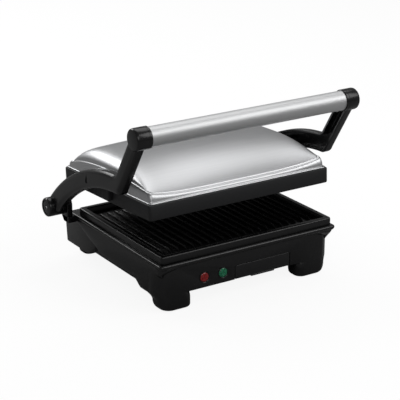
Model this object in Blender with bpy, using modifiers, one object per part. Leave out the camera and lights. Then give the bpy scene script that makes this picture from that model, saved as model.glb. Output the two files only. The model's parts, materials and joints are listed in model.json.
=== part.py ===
"""Panini press: domed steel lid on two cranked arms over a ribbed grill base.

Metres, +Z up, the front of the press faces -Y and it stands on z = 0. Depths below are
measured back from the front edge of the lower grill plate; the empty press_origin moves
the whole press so that the world origin is under the middle of its bounding box.
"""

import math

import bmesh
import bpy
from mathutils import Euler, Matrix, Vector

# Driving dimensions -------------------------------------------------------------------

GAP = 0.0003                # air left between pieces that touch or fit
RUNNING_GAP = 0.0004        # radial air round a turning pin
OVERSHOOT = 0.002           # how far a cutter runs past the face it opens

# Cast grill plates, the same casting below and above
PLATE_WIDTH = 0.286
PLATE_DEPTH = 0.234
PLATE_RIM_HEIGHT = 0.011
PLATE_RIM_WALL = 0.009
PLATE_CORNER = 0.004
PLATE_EDGE = 0.0012
PLATE_FLOOR_DROP = 0.0085   # grill floor below the rim's top
PLATE_DISH_INSET = 0.016    # from the rim's outside to the dish below it
PLATE_DISH_DEPTH = 0.0083
PLATE_FLOOR = 0.0030
PLATE_DISH_WALL = 0.0040
RIB_HEIGHT = 0.0052
RIB_WIDTH = 0.0034
RIB_TOP_SHARE = 0.55        # width of a rib's top over the width of its foot
RIB_ROOT = 0.0008           # depth of a rib sunk in the floor
RIB_PITCH = 0.0124
RIB_SIDE_MARGIN = 0.009     # least distance from the rim to the first rib's middle
GUTTER = 0.017              # flat channel at the front and the back of the ribs

# Base housing
DECK_Z = 0.0740             # ledge that the lower plate sits on
DECK_THICKNESS = 0.0075
LEDGE_SIDE = 0.005          # ledge beyond the plate's sides and front
LEDGE_HEIGHT = 0.0055
LEDGE_CORNER = 0.006
LEDGE_EDGE = 0.0020
BODY_SIDE_INSET = 0.011     # body walls inside the ledge
BODY_FRONT = 0.004
BODY_BEHIND_PLATE = 0.024
BODY_BOTTOM = 0.0246
BODY_CORNER = 0.008
WALL = 0.003
LEG_WIDTH = 0.047
LEG_DEPTH = 0.046
LEG_CORNER = 0.013
LEG_INSET = 0.001           # front legs inside the body's outline
LEG_IN_BODY = 0.0114        # leg top above the body's lower edge
LEG_CLEAR = 0.0012          # leg end above the table; the rubber foot stands proud of it
HEEL_RADIUS = 0.014
HEEL_INSET = 0.025          # heel's middle inside the body's side
HEEL_BEHIND = 0.004         # heel's middle behind the body
HEEL_IN_BODY = 0.0154
FOOT_RADIUS = 0.0105
FOOT_HEIGHT = 0.0045
FOOT_TAPER = 0.0012
CHEEK_INSET = 0.0015        # cheek face inside the ledge's side
CHEEK_BEHIND = 0.004

# Bottom cover and what stands on it
COVER_FIT = 0.0006          # air round the bottom cover
COVER_PLATE = 0.0025
POST_RADIUS = 0.004
POST_INSET = 0.027          # posts inside the body's side
RAIL_HEIGHT = 0.010
RAIL_WALL = 0.002
REFLECTOR_BELOW_DECK = 0.0240
REFLECTOR_THICKNESS = 0.0008
REFLECTOR_INSET = 0.023     # reflector inside the plate's side
REFLECTOR_LIP = 0.004

# Drip tray and the drain above it
TRAY_X = 0.0257
TRAY_FACE_WIDTH = 0.094
TRAY_FACE_LAP = 0.003       # face beyond the tray's body on each side
TRAY_FACE_BELOW_DECK = 0.0283
TRAY_FACE_BOTTOM = 0.0240
TRAY_BELOW_DECK = 0.0300
TRAY_LENGTH = 0.130
TRAY_WALL = 0.002
TRAY_GAP = 0.0005
DRAIN_BORE = 0.0035
DRAIN_SPOUT = 0.0055
DRAIN_CLEAR = 0.0028        # spout's end above the tray's top

# Indicator lights
LENS_RADIUS = 0.0070
LENS_BELOW_DECK = 0.0338
LENS_TO_TRAY = 0.0201       # nearer light's middle to the tray's face
LENS_PITCH = 0.0308
LENS_PROUD = 0.0014
LENS_STEM = 0.004
BOARD_MARGIN = 0.013        # board beyond the middles of the lights
BOARD_THICKNESS = 0.0016
BOARD_BELOW_DECK = 0.0220

# Heating elements
ELEMENT_RADIUS = 0.0032
ELEMENT_INSET = 0.039       # element inside the plate's side
ELEMENT_BEND = 0.020
ELEMENT_TAIL = 0.030
THERMOSTAT_RADIUS = 0.0090
THERMOSTAT_HEIGHT = 0.0088
THERMOSTAT_X = -0.055
THERMOSTAT_EAR = 0.016
UPPER_REFLECTOR_DROP = 0.0160   # sheet above the upper plate's underside

# Lid and its floating pivot
LID_PITCH = math.radians(3.0)
BAND_WALL = 0.0032
BAND_SIDE_AIR = 0.0033      # between the band and the upper plate's sides
BAND_END_AIR = 0.0013
BAND_HEIGHT = 0.0221
BAND_BOTTOM = -0.0337       # below the pivot
BAND_CORNER = 0.005
BAND_SEAT = 0.0030
PIVOT_BEHIND_MIDDLE = 0.021     # pivot behind the middle of the lower plate
PIVOT_ABOVE_DECK = 0.0860
LID_MIDDLE = 0.0035         # middle of the lid behind the pivot
EAR_SUNK = 0.0015           # ear inside the band's outline
EAR_PROUD = 0.0061
EAR_RADIUS = 0.0090
EAR_HALF_BASE = 0.0160
PIN_RADIUS = 0.0035
PIN_HEAD_RADIUS = 0.0060
BOSS_RADIUS = 0.0080
BOSS_GAP = 0.0044           # between the ear and the boss, filled by the pin's washer
UPPER_PLATE_DROP = 0.0005   # plate face above the band's lower edge
COVER_INSET = 0.0020
COVER_SHEET = 0.0012
COVER_RISE = 0.0430
COVER_FLANGE = 0.0045
COVER_LIFT = 0.0004         # foot of the dome above its flange

# Hinge line of the arms
HINGE_INSET = 0.007         # hinge line inside the body's rear
HINGE_ABOVE_DECK = 0.0150
TOWER_GAP = 0.0012          # between the lid's side and the towers
TOWER_WIDTH = 0.0088
TOWER_RADIUS = 0.0135
TOWER_BACK = 0.0105         # flat back of the tower behind the hinge line
TOWER_DROP = 0.026          # tower's lower end below the hinge line
TOWER_ROOT = 0.010          # height of the root that joins the tower to the body
AXLE_RADIUS = 0.0075
AXLE_START = 0.0015         # blind end of the bore in the tower
AXLE_ENGAGEMENT = 0.0155    # length of axle inside the arm's barrel
BARREL_RADIUS = 0.0143
BARREL_GAP = 0.0007
BARREL_PROUD = 0.0072       # barrel beyond the arm's outer face
HUB_CAP_RADIUS = 0.0102
HUB_CAP_THICKNESS = 0.0030
HUB_CAP_SUNK = 0.0006
HUB_SCREW_RADIUS = 0.0022
HUB_SCREW_DEPTH = 0.0012

# Cranked arms
ARM_TO_TOWER = 0.0058
ARM_WIDTH = 0.0152
ARM_HALF_BAND = 0.0134      # half the width of the long curved stretch
ARM_HALF_POST = 0.0108      # half the width of the upright
ARM_WEB = 0.0035
ARM_FLANGE = 0.0032
ARM_END_INSET = 0.0004      # ends of the arm inside its barrel and its handle socket
CROWN_TO_PIVOT = 0.0867     # the curved stretch is level this far ahead of the pivot
CROWN_ABOVE_DECK = 0.1040
CROWN_TO_ELBOW = 0.0047
PIN_BORE_WALL = 0.004       # web left outside the pin's bore

# Handle bar
BAR_TO_CROWN = 0.0438
BAR_ABOVE_DECK = 0.1817
TUBE_RADIUS = 0.0140
TUBE_WALL = 0.0012
SOCKET_WALL = 0.0015        # socket beyond the tube's radius
SOCKET_TO_ARM = 0.0067      # socket's mouth inboard of the arm
SOCKET_PROUD = 0.0013
SOCKET_DEPTH = 0.0080
TENON_REACH = 0.0150        # plug inside the tube, inboard of the socket's mouth
HANDLE_SCREW_INBOARD = 0.0062
HANDLE_SCREW_RADIUS = 0.0023
HANDLE_SCREW_HEAD = 0.0013
HANDLE_SHANK_SHARE = 0.6    # shank radius over head radius
HANDLE_SHANK_REACH = 0.0055

# Gland for the cord in the rear wall
GLAND_X = 0.060
GLAND_BELOW_DECK = 0.0290
GLAND_RADIUS = 0.0085
GLAND_STEP = 0.002          # neck of the gland inside its collar's radius
GLAND_BORE = 0.0036

# Places that follow from the sizes above
LEDGE_HALF_WIDTH = PLATE_WIDTH / 2 + LEDGE_SIDE
LEDGE_FRONT = -LEDGE_SIDE
BODY_HALF_WIDTH = LEDGE_HALF_WIDTH - BODY_SIDE_INSET
BODY_REAR = PLATE_DEPTH + BODY_BEHIND_PLATE
CHEEK_HALF_WIDTH = LEDGE_HALF_WIDTH - CHEEK_INSET
CHEEK_REAR = BODY_REAR + CHEEK_BEHIND
LEG_TOP = BODY_BOTTOM + LEG_IN_BODY
HEEL_X = BODY_HALF_WIDTH - HEEL_INSET
HEEL_Y = BODY_REAR + HEEL_BEHIND
HEEL_TOP = BODY_BOTTOM + HEEL_IN_BODY
REFLECTOR_Z = DECK_Z - REFLECTOR_BELOW_DECK
TRAY_BODY_WIDTH = TRAY_FACE_WIDTH - 2 * TRAY_FACE_LAP
TRAY_FACE_TOP = DECK_Z - TRAY_FACE_BELOW_DECK
TRAY_TOP = DECK_Z - TRAY_BELOW_DECK
READY_LIGHT_X = TRAY_X - TRAY_FACE_WIDTH / 2 - LENS_TO_TRAY
POWER_LIGHT_X = READY_LIGHT_X - LENS_PITCH
LENS_Z = DECK_Z - LENS_BELOW_DECK
LID_WIDTH = PLATE_WIDTH + 2 * (BAND_WALL + BAND_SIDE_AIR)
LID_DEPTH = PLATE_DEPTH + 2 * (BAND_WALL + BAND_END_AIR)
LID_FRONT = LID_MIDDLE - LID_DEPTH / 2
PIVOT_Y = PLATE_DEPTH / 2 + PIVOT_BEHIND_MIDDLE
PIVOT_Z = DECK_Z + PIVOT_ABOVE_DECK
EAR_INSIDE = LID_WIDTH / 2 - EAR_SUNK
EAR_OUTSIDE = LID_WIDTH / 2 + EAR_PROUD
BOSS_INSIDE = EAR_OUTSIDE + BOSS_GAP
HINGE_Y = BODY_REAR - HINGE_INSET
HINGE_Z = DECK_Z + HINGE_ABOVE_DECK
TOWER_INSIDE = LID_WIDTH / 2 + TOWER_GAP
TOWER_OUTSIDE = TOWER_INSIDE + TOWER_WIDTH
ARM_INSIDE = TOWER_OUTSIDE + ARM_TO_TOWER
ARM_OUTSIDE = ARM_INSIDE + ARM_WIDTH
BARREL_OUTSIDE = ARM_OUTSIDE + BARREL_PROUD
ARM_CROWN_Y = PIVOT_Y - CROWN_TO_PIVOT
ARM_CROWN_Z = DECK_Z + CROWN_ABOVE_DECK
ELBOW_Y = ARM_CROWN_Y + CROWN_TO_ELBOW
BAR_Y = ARM_CROWN_Y - BAR_TO_CROWN
BAR_Z = DECK_Z + BAR_ABOVE_DECK
SOCKET_RADIUS = TUBE_RADIUS + SOCKET_WALL
SOCKET_MOUTH = ARM_INSIDE - SOCKET_TO_ARM
SOCKET_OUTSIDE = ARM_OUTSIDE + SOCKET_PROUD
GLAND_Z = DECK_Z - GLAND_BELOW_DECK

PRESS_FRONT = min(BAR_Y - SOCKET_RADIUS, LEDGE_FRONT)
PRESS_REAR = HEEL_Y + HEEL_RADIUS
MIDDLE_Y = (PRESS_FRONT + PRESS_REAR) / 2

BLACK = (0.018, 0.018, 0.020)
DARK = (0.030, 0.031, 0.034)
STEEL = (0.62, 0.62, 0.63)

SIDES = {"left": -1, "right": 1}


# Scene and object helpers -------------------------------------------------------------

def clear_scene():
    for item in list(bpy.data.objects):
        bpy.data.objects.remove(item, do_unlink=True)


def new_collection(name):
    collection = bpy.data.collections.new(name)
    bpy.context.scene.collection.children.link(collection)
    return collection


def new_material(name, colour, roughness, metallic):
    material = bpy.data.materials.new(name)
    material.use_nodes = True
    shader = material.node_tree.nodes["Principled BSDF"]
    shader.inputs["Base Color"].default_value = (*colour, 1.0)
    shader.inputs["Roughness"].default_value = roughness
    shader.inputs["Metallic"].default_value = metallic
    return material


def new_empty(name, parent, location, rotation=(0.0, 0.0, 0.0), drawn_from=(0.0, 0.0, 0.0)):
    """Empty that carries pieces; drawn_from is where it lies in their own drawing."""
    empty = bpy.data.objects.new(name, None)
    PARTS.objects.link(empty)
    empty.parent = parent
    empty.location = location
    empty.rotation_euler = rotation
    empty["drawn_from"] = drawn_from
    return empty


def mesh_object(name, bm, collection):
    bmesh.ops.recalc_face_normals(bm, faces=bm.faces)
    mesh = bpy.data.meshes.new(name)
    bm.to_mesh(mesh)
    bm.free()
    item = bpy.data.objects.new(name, mesh)
    collection.objects.link(item)
    return item


def as_cutter(item):
    item.hide_render = True
    item.display_type = "WIRE"
    return item


def combine(target, operand, operation):
    """Boolean of two meshes, the operand being kept as a hidden wire object."""
    modifier = target.modifiers.new(operand.name, "BOOLEAN")
    modifier.operation = operation
    modifier.object = as_cutter(operand)
    modifier.solver = "EXACT"


def add(target, *operands):
    for operand in operands:
        combine(target, operand, "UNION")


def cut(target, *operands):
    for operand in operands:
        combine(target, operand, "DIFFERENCE")


def finish(item, parent, material, smooth_angle=None):
    """Parent the piece, its cutters too, and give it its material."""
    item.data.materials.clear()
    item.data.materials.append(material)
    family = [item]
    family += [m.object for m in item.modifiers if m.type == "BOOLEAN"]
    for member in family:
        member.parent = parent
        member.location = -Vector(parent["drawn_from"])
    if smooth_angle is not None:
        item.data.shade_smooth()
        item.data.set_sharp_from_angle(angle=math.radians(smooth_angle))
    return item


# Shape helpers ------------------------------------------------------------------------

def box(name, low, high, collection, corner=0.0, edge=0.0, corner_steps=4, edge_steps=2):
    """Box between two corners; corner rounds the upright edges, edge all the others."""
    low = Vector(low)
    high = Vector(high)
    bm = bmesh.new()
    bmesh.ops.create_cube(bm, size=1.0)
    bmesh.ops.scale(bm, vec=high - low, verts=bm.verts)
    bmesh.ops.translate(bm, vec=(low + high) / 2, verts=bm.verts)
    if corner:
        upright = [e for e in bm.edges if abs(e.verts[0].co.z - e.verts[1].co.z) > 1e-6]
        bmesh.ops.bevel(bm, geom=upright, offset=corner, segments=corner_steps,
                        profile=0.5, affect="EDGES")
    if edge:
        flat = [e for e in bm.edges if abs(e.verts[0].co.z - e.verts[1].co.z) < 1e-6
                and e.calc_face_angle() > math.radians(60)]
        bmesh.ops.bevel(bm, geom=flat, offset=edge, segments=edge_steps,
                        profile=0.5, affect="EDGES")
    return mesh_object(name, bm, collection)


def rod(name, start, end, radius, collection, sides=20, end_radius=None):
    """Cylinder or cone from one point to another."""
    start = Vector(start)
    end = Vector(end)
    bm = bmesh.new()
    bmesh.ops.create_cone(bm, cap_ends=True, segments=sides, radius1=radius,
                          radius2=radius if end_radius is None else end_radius,
                          depth=(end - start).length)
    turn = Vector((0, 0, 1)).rotation_difference(end - start).to_matrix().to_4x4()
    bmesh.ops.transform(bm, matrix=Matrix.Translation((start + end) / 2) @ turn,
                        verts=bm.verts)
    return mesh_object(name, bm, collection)


def curve_to_mesh(item, collection):
    """Replace a curve object by its evaluated mesh with welded caps."""
    bpy.context.view_layer.update()
    depsgraph = bpy.context.evaluated_depsgraph_get()
    mesh = bpy.data.meshes.new_from_object(item.evaluated_get(depsgraph))
    mesh.transform(item.matrix_world)
    bm = bmesh.new()
    bm.from_mesh(mesh)
    bmesh.ops.remove_doubles(bm, verts=bm.verts, dist=0.00001)
    name = item.name
    bpy.data.objects.remove(item, do_unlink=True)
    return mesh_object(name, bm, collection)


def outline_curve(name, points, thickness):
    curve = bpy.data.curves.new(name, "CURVE")
    curve.dimensions = "2D"
    curve.fill_mode = "BOTH"
    curve.extrude = thickness / 2
    spline = curve.splines.new("POLY")
    spline.points.add(len(points) - 1)
    for point, (u, v) in zip(spline.points, points):
        point.co = (u, v, 0.0, 1.0)
    spline.use_cyclic_u = True
    item = bpy.data.objects.new(name, curve)
    bpy.context.scene.collection.objects.link(item)
    return item


def side_prism(name, points, x_start, x_end, collection):
    """Outline drawn in the side view (y, z), extruded from x_start to x_end."""
    item = outline_curve(name, points, abs(x_end - x_start))
    item.rotation_euler = Euler((math.pi / 2, 0.0, math.pi / 2))
    item.location = ((x_start + x_end) / 2, 0.0, 0.0)
    return curve_to_mesh(item, collection)


def arc(centre, radius, start, end, steps, end_radius=None):
    """Points on an arc in degrees, optionally with the radius growing to end_radius."""
    last = radius if end_radius is None else end_radius
    points = []
    for i in range(steps + 1):
        t = i / steps
        angle = math.radians(start + (end - start) * t)
        r = radius + (last - radius) * t
        points.append((centre[0] + r * math.cos(angle), centre[1] + r * math.sin(angle)))
    return points


# Grill plates and heaters -------------------------------------------------------------

def grill_plate(name, parent, material, with_drain):
    """Casting with its rim's top at local z = 0, front edge at y = 0, ribs upward."""
    half = PLATE_WIDTH / 2
    plate = box(name, (-half, 0, -PLATE_RIM_HEIGHT), (half, PLATE_DEPTH, 0), PARTS,
                corner=PLATE_CORNER, edge=PLATE_EDGE)
    inset = PLATE_DISH_INSET
    bottom = -PLATE_RIM_HEIGHT - PLATE_DISH_DEPTH
    dish = box(name + "_dish", (-half + inset, inset, bottom),
               (half - inset, PLATE_DEPTH - inset, -PLATE_RIM_HEIGHT / 2), CUTTERS,
               corner=PLATE_CORNER)
    wall = PLATE_RIM_WALL
    pocket = box(name + "_pocket", (-half + wall, wall, -PLATE_FLOOR_DROP),
                 (half - wall, PLATE_DEPTH - wall, PLATE_RIM_HEIGHT), CUTTERS,
                 corner=PLATE_CORNER - 0.002)
    add(plate, dish)
    cut(plate, pocket)
    under = inset + PLATE_DISH_WALL
    cut(plate, box(name + "_underside", (-half + under, under, bottom - 0.01),
                   (half - under, PLATE_DEPTH - under, -PLATE_FLOOR_DROP - PLATE_FLOOR),
                   CUTTERS, corner=PLATE_CORNER))
    add(plate, rib_bank(name + "_ribs"))
    if with_drain:
        y = wall + GUTTER - DRAIN_SPOUT
        end = TRAY_TOP + DRAIN_CLEAR - (DECK_Z + GAP + PLATE_RIM_HEIGHT)
        spout = rod(name + "_spout", (TRAY_X, y, -PLATE_FLOOR_DROP - PLATE_FLOOR / 3),
                    (TRAY_X, y, end), DRAIN_SPOUT, CUTTERS, sides=16)
        hole = rod(name + "_drain", (TRAY_X, y, OVERSHOOT), (TRAY_X, y, end - OVERSHOOT),
                   DRAIN_BORE, CUTTERS, sides=12)
        add(plate, spout)
        cut(plate, hole)
    return finish(plate, parent, material)


def rib_bank(name):
    """All the ribs of one plate, running front to back with chamfered tops."""
    bm = bmesh.new()
    length = PLATE_DEPTH - 2 * (PLATE_RIM_WALL + GUTTER)
    foot = PLATE_FLOOR_DROP + RIB_ROOT
    height = RIB_HEIGHT + RIB_ROOT
    room = PLATE_WIDTH - 2 * (PLATE_RIM_WALL + RIB_SIDE_MARGIN)
    count = int(room / RIB_PITCH) + 1
    for i in range(count):
        x = (i - (count - 1) / 2) * RIB_PITCH
        made = bmesh.ops.create_cube(bm, size=1.0)["verts"]
        bmesh.ops.scale(bm, vec=(RIB_WIDTH, length, height), verts=made)
        bmesh.ops.translate(bm, vec=(x, PLATE_DEPTH / 2, height / 2 - foot), verts=made)
        for vert in made:
            if vert.co.z > -foot + height / 2:
                vert.co.x = x + (vert.co.x - x) * RIB_TOP_SHARE
    return mesh_object(name, bm, CUTTERS)


def heating_element(name, parent, material, z):
    """Sheathed tube bent round three sides of the plate, both tails at the back."""
    half = PLATE_WIDTH / 2 - ELEMENT_INSET
    front = PLATE_DISH_INSET + PLATE_DISH_WALL + 0.018
    back = PLATE_DEPTH - PLATE_DISH_INSET - PLATE_DISH_WALL - 0.012
    r = ELEMENT_BEND
    points = [(-ELEMENT_TAIL, back)]
    points += arc((-half + r, back - r), r, 90, 180, 5)
    points += arc((-half + r, front + r), r, 180, 270, 5)
    points += arc((half - r, front + r), r, 270, 360, 5)
    points += arc((half - r, back - r), r, 0, 90, 5)
    points += [(ELEMENT_TAIL, back)]
    curve = bpy.data.curves.new(name, "CURVE")
    curve.dimensions = "3D"
    curve.bevel_depth = ELEMENT_RADIUS
    curve.bevel_resolution = 2
    curve.use_fill_caps = True
    spline = curve.splines.new("POLY")
    spline.points.add(len(points) - 1)
    for point, (x, y) in zip(spline.points, points):
        point.co = (x, y, z, 1.0)
    item = bpy.data.objects.new(name, curve)
    PARTS.objects.link(item)
    item.data.materials.append(material)
    item.parent = parent
    return item


def reflector(name, parent, material, z):
    """Thin sheet behind the element with its long edges folded up."""
    margin = PLATE_DISH_INSET + 0.014
    half = PLATE_WIDTH / 2 - REFLECTOR_INSET
    sheet = box(name, (-half, margin, z),
                (half, PLATE_DEPTH - margin, z + REFLECTOR_THICKNESS), PARTS)
    for side in (-1, 1):
        lip = box(f"{name}_lip_{side}", (side * half - REFLECTOR_THICKNESS, margin, z),
                  (side * half + REFLECTOR_THICKNESS, PLATE_DEPTH - margin,
                   z + REFLECTOR_LIP), CUTTERS)
        add(sheet, lip)
    return finish(sheet, parent, material)


def thermostat(name, parent, material, z):
    """Round snap-disc thermostat held by two ears against the casting."""
    x = THERMOSTAT_X
    y = PLATE_DEPTH / 2
    body = rod(name, (x, y, z), (x, y, z - THERMOSTAT_HEIGHT), THERMOSTAT_RADIUS, PARTS)
    ear = box(name + "_ear", (x - THERMOSTAT_EAR, y - THERMOSTAT_EAR / 4, z - 0.0015),
              (x + THERMOSTAT_EAR, y + THERMOSTAT_EAR / 4, z), CUTTERS)
    add(body, ear)
    return finish(body, parent, material, 40)


# Base ---------------------------------------------------------------------------------

def housing():
    """Moulded base: box with a ledge, side skirts, legs, heels and hinge towers."""
    half = BODY_HALF_WIDTH
    body = box("base_housing", (-half, BODY_FRONT, BODY_BOTTOM),
               (half, BODY_REAR, DECK_Z - LEDGE_HEIGHT / 2), PARTS, corner=BODY_CORNER)
    inner = half - WALL
    cavity = box("housing_cavity", (-inner, BODY_FRONT + WALL, 0),
                 (inner, BODY_REAR - WALL, DECK_Z - DECK_THICKNESS), CUTTERS,
                 corner=BODY_CORNER - WALL)
    cut(body, cavity)
    ledge = box("housing_ledge", (-LEDGE_HALF_WIDTH, LEDGE_FRONT, DECK_Z - LEDGE_HEIGHT),
                (LEDGE_HALF_WIDTH, BODY_REAR, DECK_Z), CUTTERS, corner=LEDGE_CORNER,
                edge=LEDGE_EDGE)
    add(body, ledge)
    for side in SIDES.values():
        add(body, *side_mouldings(side))
    add(body, *legs())
    cut(body, *foot_sockets())
    cut(body, plate_opening(), tray_opening(), *light_holes())
    cut(body, *axle_bores())
    cut(body, rod("gland_hole", (GLAND_X, BODY_REAR - 0.02, GLAND_Z),
                  (GLAND_X, BODY_REAR + 0.02, GLAND_Z), GLAND_RADIUS - GLAND_STEP + GAP,
                  CUTTERS, sides=20))
    return finish(body, PRESS, BLACK_PLASTIC)


def skirt_outline():
    """Side view of the bulging skirt: it climbs over the front leg and to the rear."""
    top = DECK_Z - LEDGE_HEIGHT + 0.001
    front = LEDGE_FRONT + 0.002
    climb = [(0.010, 0.0210), (0.023, 0.0275), (0.042, 0.0345), (0.062, 0.0390),
             (0.080, 0.0400)]
    fall = [(0.098, 0.0400), (0.078, 0.0355), (0.060, 0.0285), (0.043, 0.0205),
            (0.026, 0.0135), (0.012, 0.0090)]
    points = [(front, top), (front, DECK_Z - 0.0165)]
    points += [(y, DECK_Z - drop) for y, drop in climb]
    points += [(BODY_REAR - back, DECK_Z - drop) for back, drop in fall]
    return points + [(BODY_REAR - 0.004, top)]


def side_mouldings(side):
    """Skirt, the two cheeks below it and the hinge tower of one side."""
    tag = f"housing_{side}"
    inner = side * (BODY_HALF_WIDTH - WALL / 2)
    skirt = side_prism(tag + "_skirt", skirt_outline(), inner, side * LEDGE_HALF_WIDTH,
                       CUTTERS)
    shoulder = DECK_Z - 0.014
    low = BODY_BOTTOM
    front_cheek = [(0.024, shoulder), (0.024, low), (0.052, low), (0.060, low + 0.0054),
                   (0.072, low + 0.0114), (0.072, shoulder)]
    rear_cheek = [(BODY_REAR - 0.088, shoulder), (BODY_REAR - 0.072, low + 0.0114),
                  (BODY_REAR - 0.058, low + 0.002), (BODY_REAR - 0.052, low),
                  (BODY_REAR, low), (CHEEK_REAR, DECK_Z - 0.012),
                  (BODY_REAR, DECK_Z - 0.008), (BODY_REAR - 0.068, DECK_Z - 0.008)]
    cheeks = []
    for name, outline in (("front", front_cheek), ("rear", rear_cheek)):
        cheeks.append(side_prism(f"{tag}_cheek_{name}", outline, inner,
                                 side * CHEEK_HALF_WIDTH, CUTTERS))
    root = HINGE_Z - TOWER_DROP
    foot = [(HINGE_Y - TOWER_RADIUS - 0.002, root), (HINGE_Y - 0.001, root),
            (HINGE_Y + 0.004, root + TOWER_ROOT),
            (HINGE_Y - TOWER_RADIUS - 0.002, root + TOWER_ROOT)]
    base = side_prism(tag + "_tower_base", foot, side * (CHEEK_HALF_WIDTH - 0.004),
                      side * TOWER_OUTSIDE, CUTTERS)
    lug = [(HINGE_Y - TOWER_RADIUS, root), (HINGE_Y - 0.001, root)]
    lug += [(HINGE_Y + TOWER_BACK, root + TOWER_DROP / 2)]
    lug += arc((HINGE_Y, HINGE_Z), TOWER_RADIUS, -20, 180, 14)
    tower = side_prism(tag + "_tower", lug, side * TOWER_INSIDE, side * TOWER_OUTSIDE,
                       CUTTERS)
    return [skirt, *cheeks, base, tower]


def leg_places():
    """Leg centres by name: two front legs and two rear heels."""
    front_x = BODY_HALF_WIDTH - LEG_INSET - LEG_WIDTH / 2
    front_y = BODY_FRONT + LEG_INSET + LEG_DEPTH / 2
    places = {}
    for word, side in SIDES.items():
        places[f"front_{word}"] = (side * front_x, front_y)
        places[f"rear_{word}"] = (side * HEEL_X, HEEL_Y)
    return places


def legs():
    made = []
    for name, (x, y) in leg_places().items():
        if name.startswith("front"):
            half_x = LEG_WIDTH / 2
            half_y = LEG_DEPTH / 2
            leg = box("leg_" + name, (x - half_x, y - half_y, LEG_CLEAR),
                      (x + half_x, y + half_y, LEG_TOP), CUTTERS, corner=LEG_CORNER,
                      edge=0.005, corner_steps=5, edge_steps=3)
        else:
            leg = box("leg_" + name, (x - HEEL_RADIUS, BODY_REAR - 0.012, LEG_CLEAR),
                      (x + HEEL_RADIUS, y + HEEL_RADIUS, HEEL_TOP), CUTTERS,
                      corner=HEEL_RADIUS * 0.8, edge=0.003, corner_steps=5)
        made.append(leg)
    return made


def foot_sockets():
    made = []
    for name, (x, y) in leg_places().items():
        made.append(rod("foot_socket_" + name, (x, y, -OVERSHOOT),
                        (x, y, FOOT_HEIGHT + GAP), FOOT_RADIUS + GAP, CUTTERS))
    return made


def plate_opening():
    inset = PLATE_DISH_INSET - 0.0016
    half = PLATE_WIDTH / 2 - inset
    return box("plate_opening", (-half, inset - 0.002, BODY_BOTTOM + 0.02),
               (half, PLATE_DEPTH - inset, DECK_Z + 0.01), CUTTERS, corner=PLATE_CORNER)


def tray_opening():
    half = TRAY_FACE_WIDTH / 2 + TRAY_GAP
    return box("tray_opening", (TRAY_X - half, BODY_FRONT - 0.01, 0.0),
               (TRAY_X + half, BODY_FRONT + WALL + OVERSHOOT, TRAY_FACE_TOP + TRAY_GAP),
               CUTTERS)


def light_holes():
    made = []
    for x in (POWER_LIGHT_X, READY_LIGHT_X):
        made.append(rod(f"light_hole_{x:.3f}", (x, BODY_FRONT - 0.004, LENS_Z),
                        (x, BODY_FRONT + WALL + OVERSHOOT, LENS_Z), LENS_RADIUS + GAP,
                        CUTTERS))
    return made


def axle_bores():
    made = []
    for word, side in SIDES.items():
        made.append(rod("axle_bore_" + word,
                        (side * (TOWER_INSIDE + AXLE_START), HINGE_Y, HINGE_Z),
                        (side * (TOWER_OUTSIDE + OVERSHOOT), HINGE_Y, HINGE_Z),
                        AXLE_RADIUS + RUNNING_GAP, CUTTERS))
    return made


def feet():
    for name, (x, y) in leg_places().items():
        pad = rod("foot_" + name, (x, y, 0.0), (x, y, FOOT_HEIGHT), FOOT_RADIUS - FOOT_TAPER,
                  PARTS, end_radius=FOOT_RADIUS)
        finish(pad, PRESS, RUBBER, 40)


def bottom_cover():
    """Cover plate between the legs with the tray's rails and the reflector's posts."""
    low = BODY_BOTTOM + COVER_FIT
    top = low + COVER_PLATE
    side = BODY_HALF_WIDTH - WALL - COVER_FIT
    front = BODY_FRONT + WALL + COVER_FIT
    back = BODY_REAR - WALL - COVER_FIT
    waist = BODY_HALF_WIDTH - LEG_INSET - LEG_WIDTH - 0.002
    leg_back = BODY_FRONT + LEG_INSET + LEG_DEPTH + 0.0015
    heel_waist = HEEL_X - HEEL_RADIUS - 0.0015
    heel_front = BODY_REAR - HEEL_RADIUS
    cover = box("base_bottom_cover", (-side, leg_back, low), (side, heel_front, top), PARTS)
    add(cover,
        box("cover_front_tongue", (-waist, front, low), (waist, leg_back + 0.01, top), CUTTERS),
        box("cover_rear_tongue", (-heel_waist, heel_front - 0.01, low),
            (heel_waist, back, top), CUTTERS))
    rail_in = TRAY_BODY_WIDTH / 2 + TRAY_GAP
    for side_word, sign in SIDES.items():
        x0, x1 = sorted((TRAY_X + sign * rail_in, TRAY_X + sign * (rail_in + RAIL_WALL)))
        add(cover, box("tray_rail_" + side_word, (x0, front + 0.001, low + 0.001),
                       (x1, BODY_FRONT + TRAY_LENGTH, top + RAIL_HEIGHT), CUTTERS))
    post_x = BODY_HALF_WIDTH - POST_INSET
    for x in (-post_x, post_x):
        for y in (leg_back + 0.010, heel_front - 0.040):
            add(cover, rod(f"post_{x:.2f}_{y:.2f}", (x, y, low + 0.001),
                           (x, y, REFLECTOR_Z - GAP), POST_RADIUS, CUTTERS, sides=12))
    return finish(cover, PRESS, BLACK_PLASTIC)


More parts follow.
